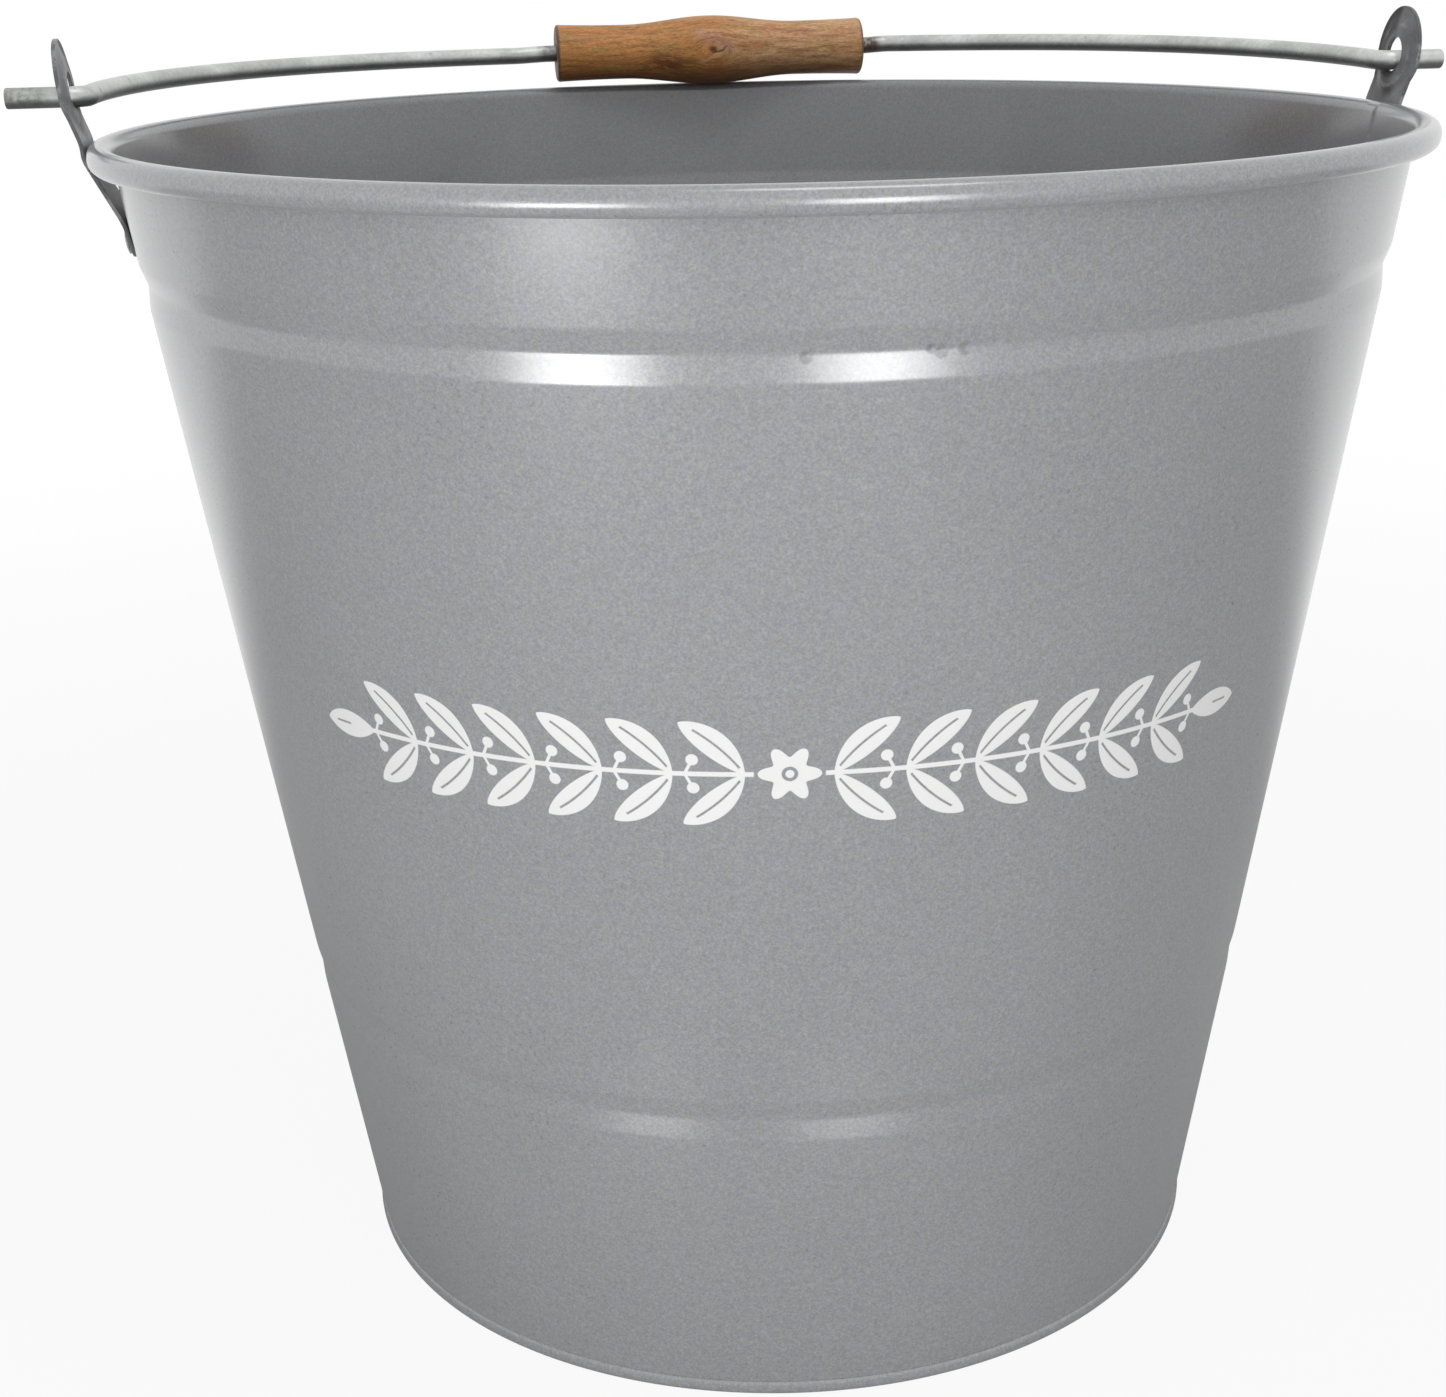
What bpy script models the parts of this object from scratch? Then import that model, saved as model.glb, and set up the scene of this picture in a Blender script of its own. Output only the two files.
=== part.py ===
# Kindling bucket: a tapered sheet steel pail with a rolled and wired rim, two pressed grooves and a
# seamed base, two riveted ears above the rim, a swinging wire bail and a turned wooden grip on it.
# Metres, +Z up. The origin is on the floor under the centre of the base. The ears are on the X axis,
# and the bail lies back on the rim towards +Y.
import math

import bmesh
import bpy
from mathutils import Vector

# Body
RIM_RADIUS = 0.160
RIM_HEIGHT = 0.2878
ROLL_RADIUS = 0.0030
SHEET = 0.0006
WALL_FOOT_RADIUS = 0.1111
RIM_WIRE_GAP = 0.0003
ROLL_END_ANGLE = math.radians(-142)
ROUND_STEPS = 60

# Pressed grooves round the wall
GROOVE_RISE = 0.0046
GROOVE_FALL = 0.0060
GROOVE_FLAT = 0.0006
UPPER_GROOVE_DROP = 0.0318
UPPER_GROOVE_DEPTH = 0.0010
LOWER_GROOVE_HEIGHT = 0.0802
LOWER_GROOVE_DEPTH = 0.00045

# Side seam inside the wall, beside the right ear
SEAM_WIDTH = 0.0060
SEAM_RAISE = 0.0005
SEAM_END_GAP = 0.0040

# Base and its seam ring
BASE_SHEET = 0.0008
BASE_RECESS = 0.0066
RING_STAND_OUT = 0.0010
RING_HEIGHT = 0.0042
RING_WALL = 0.0009
RING_LAND = 0.0013
CHANNEL_FLOOR = 0.0015
BASE_INNER_WALL = 0.0010
BASE_CORNER = 0.0012
FIT_GAP = 0.0003

# Ears
EAR_SHEET = 0.0009
EAR_RIM_GAP = 0.0003
EAR_HOLE_RISE = 0.0110
EAR_HEAD_RADIUS = 0.0117
EAR_HOLE_RADIUS = 0.0042
EAR_HEAD_LEAN = math.radians(5.7)
EAR_DISH_DEPTH = 0.0009
EAR_DISH_FLAT_SHARE = 0.28
EAR_DISH_EDGE_SHARE = 0.86
EAR_NECK_WIDTH = 0.0200
EAR_NECK_DROP = 0.0009
EAR_STEP_RISE = 0.0082
EAR_STEP_OUT = 0.00315
EAR_SHOULDER_DROP = 0.0040
EAR_KINK_DROP = 0.0196
EAR_TIP_DROP = 0.0273
EAR_TIP_CORNER = 0.0070
HEAD_STEPS = 20
NECK_STEPS = 10

# Rivets
RIVET_SHANK_RADIUS = 0.0015
RIVET_HEAD_RADIUS = 0.0028
RIVET_HEAD_HEIGHT = 0.0007
RIVET_SPREAD = 0.0052
RIVET_RISE = 0.0040
RIVET_STEPS = 12

# Bail wire
BAIL_WIRE_RADIUS = 0.0024
BAIL_BEND_RADIUS = 0.0036
BAIL_HOLE_GAP = 0.0004
BAIL_LEFT_TAIL = 0.0147
BAIL_RIGHT_TAIL = 0.0123
BAIL_LEFT_BOW = 0.0005
BAIL_RIGHT_BOW = 0.0009
BAIL_STEP_LEFT = -0.0004
BAIL_STEP_RIGHT = 0.00045
BAIL_FLAT_LEFT = 0.0500
BAIL_FLAT_RIGHT = 0.0640
BAIL_STEP_LENGTH = 0.0080
ARC_STEPS = 16
BEND_STEPS = 5

# Grip
GRIP_LENGTH = 0.0944
GRIP_OFFSET = 0.0086
GRIP_RIM_INSET = 0.0070
GRIP_WAIST_RADIUS = 0.00795
GRIP_BELLY_RADIUS = 0.0101
GRIP_END_RADIUS = 0.0084
GRIP_EDGE = 0.0010
GRIP_BORE_GAP = 0.0004
GRIP_BELLY_SHARE = 0.56
GRIP_STEPS = 9
GRIP_SIDES = 24

OVERRUN = 0.0020
MERGE = 0.00001


# Worked out from the sizes above
FACET = 2 * math.pi / ROUND_STEPS
ROLL_CENTRE = Vector((RIM_RADIUS - ROLL_RADIUS, RIM_HEIGHT - ROLL_RADIUS))
ROLL_MID = ROLL_RADIUS - SHEET / 2
UPPER_GROOVE_HEIGHT = RIM_HEIGHT - UPPER_GROOVE_DROP
RING_RADIUS = WALL_FOOT_RADIUS + RING_STAND_OUT
BAIL_REACH = RIM_RADIUS - GRIP_RIM_INSET


def taper_of_wall():
    """Angle from the vertical of the line that leaves the foot and just touches the rolled rim."""
    dx = ROLL_CENTRE.x - (WALL_FOOT_RADIUS - SHEET / 2)
    dz = ROLL_CENTRE.y
    return math.atan2(dx, dz) - math.asin(ROLL_MID / math.hypot(dx, dz))


TAPER = taper_of_wall()


def wall_radius(z):
    """Outside radius of the plain wall at a height."""
    return WALL_FOOT_RADIUS + z * math.tan(TAPER)


def polyline_object(name, points, collection, closed=False):
    mesh = bpy.data.meshes.new(name)
    pairs = [(i, i + 1) for i in range(len(points) - 1)]
    if closed:
        pairs.append((len(points) - 1, 0))
    mesh.from_pydata([(r, 0, z) for r, z in points], pairs, [])
    obj = bpy.data.objects.new(name, mesh)
    collection.objects.link(obj)
    return obj


def add_screw(obj, steps, angle=2 * math.pi, merge=False):
    screw = obj.modifiers.new("Turn", "SCREW")
    screw.axis = "Z"
    screw.angle = angle
    screw.steps = steps
    screw.render_steps = steps
    screw.use_merge_vertices = merge
    screw.merge_threshold = MERGE
    screw.use_normal_calculate = False
    return screw


def add_shell(obj, thickness, offset=0):
    shell = obj.modifiers.new("Sheet", "SOLIDIFY")
    shell.thickness = thickness
    shell.offset = offset
    shell.use_even_offset = True
    shell.use_rim = True
    return shell


def add_boolean(obj, other, operation):
    cut = obj.modifiers.new(operation.title(), "BOOLEAN")
    cut.object = other
    cut.operation = operation
    cut.solver = "EXACT"
    return cut


def baked_mesh(obj, name):
    """The object's mesh with its modifiers worked in."""
    bpy.context.view_layer.update()
    graph = bpy.context.evaluated_depsgraph_get()
    mesh = bpy.data.meshes.new_from_object(obj.evaluated_get(graph))
    mesh.name = name
    bm = bmesh.new()
    bm.from_mesh(mesh)
    bmesh.ops.remove_doubles(bm, verts=bm.verts, dist=MERGE)
    bm.to_mesh(mesh)
    bm.free()
    return mesh


def hide_cutter(obj):
    obj.hide_render = True
    obj.display_type = "WIRE"


def finish(obj, material):
    obj.data.materials.clear()
    obj.data.materials.append(material)
    obj.data.shade_smooth()
    obj.data.set_sharp_from_angle(angle=math.radians(35))


def plain_material(name, colour, roughness, metallic):
    material = bpy.data.materials.new(name)
    material.use_nodes = True
    shader = material.node_tree.nodes["Principled BSDF"]
    shader.inputs["Base Color"].default_value = (*colour, 1)
    shader.inputs["Roughness"].default_value = roughness
    shader.inputs["Metallic"].default_value = metallic
    material.diffuse_color = (*colour, 1)
    return material


def body_paint(name):
    return plain_material(name, (0.29, 0.295, 0.30), 0.42, 0.0)


def galvanised_wire(name):
    return plain_material(name, (0.52, 0.53, 0.52), 0.38, 1.0)


def turned_wood(name):
    return plain_material(name, (0.42, 0.20, 0.085), 0.55, 0.0)


def groove(height, depth):
    """Middle-line points of one pressed groove, from its top edge down."""
    flat = GROOVE_FLAT / 2
    rows = ((GROOVE_RISE, 0), (flat, depth), (-flat, depth), (-GROOVE_FALL, 0))
    return [(wall_radius(height + dz) - SHEET / 2 - inset, height + dz) for dz, inset in rows]


def wall_line(foot_z):
    """Middle line of the wall's sheet, from the hidden end of the rolled rim down to the foot."""
    points = []
    start = math.pi - TAPER
    turns = 13
    for i in range(turns):
        angle = ROLL_END_ANGLE + (start - ROLL_END_ANGLE) * i / (turns - 1)
        points.append(
            (
                ROLL_CENTRE.x + ROLL_MID * math.cos(angle),
                ROLL_CENTRE.y + ROLL_MID * math.sin(angle),
            )
        )
    points += groove(UPPER_GROOVE_HEIGHT, UPPER_GROOVE_DEPTH)
    points += groove(LOWER_GROOVE_HEIGHT, LOWER_GROOVE_DEPTH)
    neck = seam_radius() - SHEET / 2
    step = wall_radius(RING_HEIGHT) - seam_radius()
    points.append((wall_radius(RING_HEIGHT + step) - SHEET / 2, RING_HEIGHT + step + FIT_GAP))
    points.append((neck, RING_HEIGHT + FIT_GAP / 2))
    points.append((neck, foot_z))
    return points


def seam_radius():
    """Outside radius of the wall's foot, where the base ring grips it."""
    return RING_RADIUS - RING_WALL - FIT_GAP


def seam_strip_line():
    """Middle line of the folded side seam, from under the rim down to just above the base."""
    inset = SHEET / 2 + SEAM_RAISE / 2
    low = BASE_RECESS + SEAM_END_GAP
    high = ROLL_CENTRE.y - SEAM_END_GAP
    rows = [(wall_radius(high) - SHEET / 2, high)]
    rows += groove(UPPER_GROOVE_HEIGHT, UPPER_GROOVE_DEPTH)
    rows += groove(LOWER_GROOVE_HEIGHT, LOWER_GROOVE_DEPTH)
    rows.append((wall_radius(low) - SHEET / 2, low))
    return [((r - inset + SHEET / 4) * math.cos(FACET / 2), z) for r, z in rows]


def make_side_seam(cutters):
    """The seam as one flat strip on the inside of the wall, in front of the right ear's middle."""
    strip = polyline_object("seam_strip", seam_strip_line(), cutters)
    width = SEAM_WIDTH / wall_radius(UPPER_GROOVE_HEIGHT)
    add_screw(strip, 1, angle=width)
    add_shell(strip, SEAM_RAISE + SHEET / 2)
    strip.rotation_euler.z = -(FACET + width) / 2
    hide_cutter(strip)
    return strip


def make_body(parts, cutters, material):
    body = polyline_object("body_shell", wall_line(CHANNEL_FLOOR + FIT_GAP), parts)
    add_screw(body, ROUND_STEPS)
    add_shell(body, SHEET)
    add_boolean(body, make_side_seam(cutters), "UNION")
    for side in (-1, 1):
        for row in (-1, 1):
            hole = make_pin_cutter("wall_rivet_hole", RIVET_SHANK_RADIUS + FIT_GAP, cutters)
            set_on_wall(hole, side, row)
            add_boolean(body, hole, "DIFFERENCE")
    finish(body, material)
    return body


def make_pin_cutter(name, radius, cutters):
    """A short round cutter along its own Z."""
    length = EAR_SHEET + SHEET + RIVET_HEAD_HEIGHT + OVERRUN
    mesh = bpy.data.meshes.new(name)
    bm = bmesh.new()
    bmesh.ops.create_cone(
        bm, cap_ends=True, segments=RIVET_STEPS, radius1=radius, radius2=radius, depth=2 * length
    )
    bm.to_mesh(mesh)
    bm.free()
    cutter = bpy.data.objects.new(name, mesh)
    cutters.objects.link(cutter)
    hide_cutter(cutter)
    return cutter


def make_rim_wire(parts, material):
    """Stiffening wire inside the rolled rim."""
    bpy.ops.mesh.primitive_torus_add(
        major_segments=ROUND_STEPS,
        minor_segments=8,
        major_radius=ROLL_CENTRE.x,
        minor_radius=ROLL_RADIUS - SHEET - RIM_WIRE_GAP,
        location=(0, 0, ROLL_CENTRE.y),
    )
    wire = bpy.context.active_object
    wire.name = "rim_wire"
    wire.data.name = "rim_wire"
    for owner in list(wire.users_collection):
        owner.objects.unlink(wire)
    parts.objects.link(wire)
    finish(wire, material)
    return wire


def base_outline():
    """Section of the base disc and its seam ring, from the top of the disc round to its underside."""
    outer = RING_RADIUS
    grip_out = outer - RING_WALL
    grip_in = grip_out - SHEET - 2 * FIT_GAP
    inner = grip_in - BASE_INNER_WALL
    low = RING_HEIGHT / 2
    top = BASE_RECESS + BASE_SHEET
    return [
        (0, top),
        (grip_in - BASE_CORNER, top),
        (grip_in, top - BASE_CORNER),
        (grip_in, CHANNEL_FLOOR),
        (grip_out, CHANNEL_FLOOR),
        (grip_out, RING_HEIGHT - RING_WALL / 3),
        (grip_out + RING_WALL / 3, RING_HEIGHT),
        (outer - RING_WALL / 5, RING_HEIGHT - RING_WALL),
        (outer, low),
        (outer - RING_WALL / 4, RING_WALL),
        (inner + RING_LAND, 0),
        (inner + RING_WALL / 2, 0),
        (inner, RING_WALL),
        (inner, BASE_RECESS - BASE_CORNER),
        (inner - BASE_CORNER, BASE_RECESS),
        (0, BASE_RECESS),
    ]


def make_base(parts, material):
    base = polyline_object("base_disc", base_outline(), parts)
    add_screw(base, ROUND_STEPS, merge=True)
    finish(base, material)
    return base


def ear_rim_x():
    """Middle of the ear's sheet beside the widest part of the rolled rim."""
    return RIM_RADIUS + EAR_RIM_GAP + EAR_SHEET / 2


def ear_hole_height():
    return RIM_HEIGHT + EAR_HOLE_RISE


def ear_hole_x():
    """Middle of the ear's sheet at the hole, in the bottom of its dish."""
    return ear_plain_x(ear_hole_height()) - EAR_DISH_DEPTH


def ear_tab_x(z):
    """Middle of the ear's sheet where its tab lies along the wall."""
    return wall_radius(z) + (FIT_GAP + EAR_SHEET / 2) / math.cos(TAPER)


def ear_bends():
    """Where the ear's sheet bends, as (height, distance from the bucket's axis), from its tip up."""
    tip_z = RIM_HEIGHT - EAR_TIP_DROP
    kink_z = RIM_HEIGHT - EAR_KINK_DROP
    neck_z = RIM_HEIGHT - EAR_NECK_DROP
    step_z = RIM_HEIGHT + EAR_STEP_RISE
    top_z = ear_hole_height() + EAR_HEAD_RADIUS
    out = ear_rim_x() + EAR_STEP_OUT
    return [
        (tip_z, ear_tab_x(tip_z)),
        (kink_z, ear_tab_x(kink_z)),
        (RIM_HEIGHT - EAR_SHOULDER_DROP, ear_rim_x()),
        (neck_z, ear_rim_x()),
        (step_z, out),
        (top_z, out + (top_z - step_z) * math.tan(EAR_HEAD_LEAN)),
    ]


def ear_plain_x(z):
    """Distance of the ear's middle surface from the bucket's axis at a height, without the dish."""
    bends = ear_bends()
    for (low, x_low), (high, x_high) in zip(bends, bends[1:]):
        if z <= high:
            return x_low + (x_high - x_low) * (z - low) / (high - low)
    return bends[-1][1]


def ear_point(y, z):
    """A point of the ear's middle surface. The head is dished towards the bucket round its hole."""
    from_hole = math.hypot(y, z - ear_hole_height()) - EAR_HOLE_RADIUS
    share = from_hole / (EAR_HEAD_RADIUS - EAR_HOLE_RADIUS)
    slope = (share - EAR_DISH_FLAT_SHARE) / (EAR_DISH_EDGE_SHARE - EAR_DISH_FLAT_SHARE)
    slope = min(max(slope, 0), 1)
    dish = 1 - slope * slope * (3 - 2 * slope)
    return Vector((ear_plain_x(z) - EAR_DISH_DEPTH * dish, y, z))


def ear_angles():
    """Angles of the ear's spokes: across the neck from left to right, then round the head."""
    half = math.asin(EAR_NECK_WIDTH / 2 / EAR_HEAD_RADIUS)
    neck = [-math.pi / 2 - half + 2 * half * i / NECK_STEPS for i in range(NECK_STEPS)]
    round_head = 2 * math.pi - 2 * half
    head = [-math.pi / 2 + half + round_head * i / HEAD_STEPS for i in range(HEAD_STEPS)]
    return neck + head


def ear_tip_z(y):
    """Height of the lower edge of the ear's tab, which has rounded corners."""
    tip_z = RIM_HEIGHT - EAR_TIP_DROP
    inset = abs(y) - (EAR_NECK_WIDTH / 2 - EAR_TIP_CORNER)
    if inset <= 0:
        return tip_z
    return tip_z + EAR_TIP_CORNER - math.sqrt(max(EAR_TIP_CORNER**2 - inset * inset, 0))


def set_on_wall(obj, side, row):
    """Stand an object square on the flat of the wall behind an ear: side -1 left, row -1 front."""
    z = RIM_HEIGHT - EAR_TIP_DROP + RIVET_RISE
    obj.location = (side * (wall_radius(z) - wall_fall(RIVET_SPREAD)), row * RIVET_SPREAD, z)
    turn = side * row * FACET / 2
    obj.rotation_euler = (0, math.pi / 2 + TAPER, turn if side > 0 else math.pi + turn)


def wall_fall(y):
    """How far the wall falls back from the ear's flat tab at a distance from its centre line."""
    return y * math.tan(FACET / 2)


def add_ear_head(bm):
    """Rings of the dished head round the hole. Returns the outermost ring."""
    angles = ear_angles()
    slope_middle = (EAR_DISH_FLAT_SHARE + EAR_DISH_EDGE_SHARE) / 2
    shares = (0, EAR_DISH_FLAT_SHARE, slope_middle, EAR_DISH_EDGE_SHARE, 1)
    rings = []
    for share in shares:
        radius = EAR_HOLE_RADIUS + (EAR_HEAD_RADIUS - EAR_HOLE_RADIUS) * share
        places = [(radius * math.cos(a), ear_hole_height() + radius * math.sin(a)) for a in angles]
        rings.append([bm.verts.new(ear_point(y, z)) for y, z in places])
    for inner, outer in zip(rings, rings[1:]):
        for i in range(len(angles)):
            j = (i + 1) % len(angles)
            bm.faces.new((inner[i], inner[j], outer[j], outer[i]))
    return rings[-1]


def add_ear_tab(bm, row):
    """Rows of faces down the neck and the tab, from the lowest part of the head's outer ring."""
    columns = [vert.co.y for vert in row]
    for drop in (EAR_NECK_DROP, EAR_SHOULDER_DROP, EAR_KINK_DROP, EAR_TIP_DROP):
        heights = [RIM_HEIGHT - drop] * len(columns)
        if drop == EAR_TIP_DROP:
            heights = [ear_tip_z(y) for y in columns]
        lower = [bm.verts.new(ear_point(y, z)) for y, z in zip(columns, heights)]
        for i in range(NECK_STEPS):
            bm.faces.new((row[i], row[i + 1], lower[i + 1], lower[i]))
        row = lower


def make_ear_mesh(cutters):
    """The right ear as a sheet with two rivet holes in its tab."""
    bm = bmesh.new()
    outer_ring = add_ear_head(bm)
    add_ear_tab(bm, outer_ring[: NECK_STEPS + 1])
    bmesh.ops.recalc_face_normals(bm, faces=bm.faces)
    sheet_mesh = bpy.data.meshes.new("ear_sheet")
    bm.to_mesh(sheet_mesh)
    bm.free()
    sheet = bpy.data.objects.new("ear_sheet", sheet_mesh)
    cutters.objects.link(sheet)
    hide_cutter(sheet)
    add_shell(sheet, EAR_SHEET)
    for row in (-1, 1):
        hole = make_pin_cutter("ear_rivet_hole", RIVET_SHANK_RADIUS + FIT_GAP, cutters)
        set_on_wall(hole, 1, row)
        add_boolean(sheet, hole, "DIFFERENCE")
    return baked_mesh(sheet, "ear")


def make_ears(parts, cutters, material):
    mesh = make_ear_mesh(cutters)
    for name, turn in (("right_ear", 0), ("left_ear", math.pi)):
        ear = bpy.data.objects.new(name, mesh)
        ear.rotation_euler.z = turn
        parts.objects.link(ear)
        finish(ear, material)


def rivet_outline(backing):
    """Section of a rivet, its own Z pointing outward: outer dome, shank, inner head."""
    outside = EAR_SHEET + 2 * FIT_GAP + wall_fall(RIVET_SPREAD)
    inside = -(backing + FIT_GAP)
    dome = RIVET_HEAD_HEIGHT
    return [
        (0, outside + dome),
        (RIVET_HEAD_RADIUS * 0.6, outside + dome * 0.8),
        (RIVET_HEAD_RADIUS, outside + dome * 0.25),
        (RIVET_HEAD_RADIUS, outside),
        (RIVET_SHANK_RADIUS, outside),
        (RIVET_SHANK_RADIUS, inside),
        (RIVET_HEAD_RADIUS, inside),
        (RIVET_HEAD_RADIUS * 0.85, inside - dome),
        (0, inside - dome),
    ]


def make_rivet_mesh(backing, parts):
    source = polyline_object("rivet", rivet_outline(backing), parts)
    add_screw(source, RIVET_STEPS, merge=True)
    mesh = baked_mesh(source, "rivet")
    bpy.data.objects.remove(source)
    return mesh


def make_rivets(parts, material):
    """Two rivets for each ear. The front one of the right ear goes through the side seam."""
    on_wall = make_rivet_mesh(SHEET, parts)
    on_seam = make_rivet_mesh(SHEET + SEAM_RAISE, parts)
    for side, side_name in ((-1, "left"), (1, "right")):
        for row, row_name in ((-1, "front"), (1, "back")):
            mesh = on_seam if side - row > 1 else on_wall
            rivet = bpy.data.objects.new(f"{side_name}_ear_rivet_{row_name}", mesh)
            set_on_wall(rivet, side, row)
            parts.objects.link(rivet)
            finish(rivet, material)


def pivot_height():
    """The bail's wire rests in the bottom of the ears' holes."""
    return ear_hole_height() - EAR_HOLE_RADIUS + BAIL_WIRE_RADIUS + BAIL_HOLE_GAP


def grip_height():
    """Height of the grip's axis over the pivot when its belly lies on the back of the rim."""
    across = ROLL_CENTRE.x - math.hypot(BAIL_REACH, GRIP_OFFSET)
    reach = ROLL_RADIUS + GRIP_BELLY_RADIUS + FIT_GAP
    rise = math.sqrt(max(reach * reach - across * across, 0))
    return ROLL_CENTRE.y + rise - pivot_height()


def bail_end(sign, tail):
    """Points of one end of the bail: its straight tail through the ear and the bend inside it."""
    hole_x = ear_hole_x()
    points = [Vector((sign * (hole_x + tail), 0, 0))]
    for i in range(BEND_STEPS + 1):
        angle = math.pi / 2 * i / BEND_STEPS
        x = hole_x - BAIL_BEND_RADIUS * math.sin(angle)
        y = BAIL_BEND_RADIUS - BAIL_BEND_RADIUS * math.cos(angle)
        points.append(Vector((sign * x, y, 0)))
    return points


def bail_side(sign, tail, flat, bow, step):
    """Points of one half of the bail, from the end of its tail to the middle, around the pivot."""
    points = bail_end(sign, tail)
    arc = ear_hole_x() - BAIL_BEND_RADIUS
    first = math.asin(BAIL_BEND_RADIUS / arc)
    last = math.acos(flat / arc)
    lift = grip_height()
    for i in range(1, ARC_STEPS + 1):
        share = i / ARC_STEPS
        angle = first + (last - first) * share
        reach = arc * math.sin(angle) + (BAIL_REACH - arc * math.sin(last)) * share * share
        height = lift * reach / BAIL_REACH + bow * math.sin(math.pi * share) + step * share
        points.append(Vector((sign * arc * math.cos(angle), reach, height)))
    points.append(Vector((sign * (flat - BAIL_STEP_LENGTH), BAIL_REACH, lift)))
    return points


def make_bail(parts, material):
    left = bail_side(-1, BAIL_LEFT_TAIL, BAIL_FLAT_LEFT, BAIL_LEFT_BOW, BAIL_STEP_LEFT)
    right = bail_side(1, BAIL_RIGHT_TAIL, BAIL_FLAT_RIGHT, BAIL_RIGHT_BOW, BAIL_STEP_RIGHT)
    route = left + right[::-1]
    curve = bpy.data.curves.new("bail_wire", "CURVE")
    curve.dimensions = "3D"
    curve.bevel_depth = BAIL_WIRE_RADIUS
    curve.bevel_resolution = 2
    curve.use_fill_caps = True
    spline = curve.splines.new("POLY")
    spline.points.add(len(route) - 1)
    for point, place in zip(spline.points, route):
        point.co = (*place, 1)
    bail = bpy.data.objects.new("bail_wire", curve)
    bail.location = (0, 0, pivot_height())
    curve.materials.append(material)
    parts.objects.link(bail)
    return bail


def grip_radius(x):
    """Outside radius of the grip at a distance from its middle."""
    half = GRIP_LENGTH / 2
    belly = GRIP_BELLY_SHARE * half
    if abs(x) < belly:
        swell = (1 + math.cos(math.pi * x / belly)) / 2
        return GRIP_WAIST_RADIUS + (GRIP_BELLY_RADIUS - GRIP_WAIST_RADIUS) * swell
    share = (abs(x) - belly) / (half - belly)
    return GRIP_WAIST_RADIUS + (GRIP_END_RADIUS - GRIP_WAIST_RADIUS) * share * share


def grip_outline():
    """Section of the grip along its own Z, down the outer side and back up the bore."""
    half = GRIP_LENGTH / 2
    bore = BAIL_WIRE_RADIUS + GRIP_BORE_GAP
    side = half - GRIP_EDGE
    points = [(GRIP_END_RADIUS - GRIP_EDGE, half)]
    for i in range(GRIP_STEPS + 1):
        z = side - 2 * side * i / GRIP_STEPS
        points.append((grip_radius(z), z))
    points.append((GRIP_END_RADIUS - GRIP_EDGE, -half))
    points.append((bore, -half))
    points.append((bore, half))
    return points


def make_grip(parts, bail, material):
    grip = polyline_object("wood_grip", grip_outline(), parts, closed=True)
    add_screw(grip, GRIP_SIDES)
    grip.rotation_euler.y = math.pi / 2
    grip.parent = bail
    grip.location = (GRIP_OFFSET, BAIL_REACH, grip_height())
    finish(grip, material)
    return grip


def new_collection(name):
    collection = bpy.data.collections.new(name)
    bpy.context.scene.collection.children.link(collection)
    return collection


def main():
    for obj in list(bpy.data.objects):
        bpy.data.objects.remove(obj)
    parts = new_collection("kindling_bucket")
    cutters = new_collection("cutters")
    make_body(parts, cutters, body_paint("body_paint"))
    make_base(parts, body_paint("base_paint"))
    make_rim_wire(parts, galvanised_wire("rim_wire_steel"))
    make_ears(parts, cutters, body_paint("ear_paint"))
    make_rivets(parts, body_paint("rivet_paint"))
    bail = make_bail(parts, galvanised_wire("bail_zinc"))
    make_grip(parts, bail, turned_wood("grip_wood"))


main()
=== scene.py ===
# Looks of the kindling bucket: finer pieces, their materials, a plain pale studio and the camera.
# Metres, +Z up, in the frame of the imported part.
import math

import bmesh
import bpy
import numpy as np
from mathutils import Matrix, Vector


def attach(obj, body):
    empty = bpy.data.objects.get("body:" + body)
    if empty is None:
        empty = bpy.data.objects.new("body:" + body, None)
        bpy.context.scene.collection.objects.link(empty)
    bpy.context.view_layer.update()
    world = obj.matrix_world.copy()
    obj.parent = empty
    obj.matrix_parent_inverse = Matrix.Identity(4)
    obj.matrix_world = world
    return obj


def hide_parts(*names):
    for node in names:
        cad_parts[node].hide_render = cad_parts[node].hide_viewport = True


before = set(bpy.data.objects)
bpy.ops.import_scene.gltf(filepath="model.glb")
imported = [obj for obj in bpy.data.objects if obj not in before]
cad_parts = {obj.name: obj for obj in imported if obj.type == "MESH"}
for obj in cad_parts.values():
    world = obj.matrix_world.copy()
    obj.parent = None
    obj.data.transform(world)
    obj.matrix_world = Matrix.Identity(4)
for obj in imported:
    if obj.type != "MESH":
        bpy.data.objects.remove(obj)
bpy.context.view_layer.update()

# Body
RIM_RADIUS = 0.160
RIM_HEIGHT = 0.2878
ROLL_RADIUS = 0.0030
ROLL_END_ANGLE = math.radians(-142)
SHEET = 0.0006
WALL_FOOT_RADIUS = 0.1111
CHANNEL_FLOOR = 0.0015
FIT_GAP = 0.0003
ROLL_LOW_STEPS = 44
ROLL_TOP_STEPS = 52
ROLL_LOW_POWER = 2.5
ROLL_TOP_POWER = 2.2
WALL_ROW = 0.0040
FINE_ROW = 0.00025
COLUMNS = 240
WELD = 1e-7
NO_AREA = 1e-14
SHARP_ANGLE = math.radians(32)
ROUNDING_SAMPLES = 9

# Pressed grooves: how far they reach up and down from their middle, then height and depth of each
GROOVE_RISE = 0.0046
GROOVE_FALL = 0.0060
GROOVE_FLAT = 0.0006
GROOVE_ROUNDING = 0.0005
UPPER_GROOVE = (0.2560, 0.0010)
LOWER_GROOVE = (0.0802, 0.00045)

# Side seam inside the wall
SEAM_WIDTH = 0.0060
SEAM_RAISE = 0.0005
SEAM_EDGE = 0.0005
SEAM_FADE = 0.0020
SEAM_AZIMUTH = math.radians(-3)
SEAM_COLUMNS = 30

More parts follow.
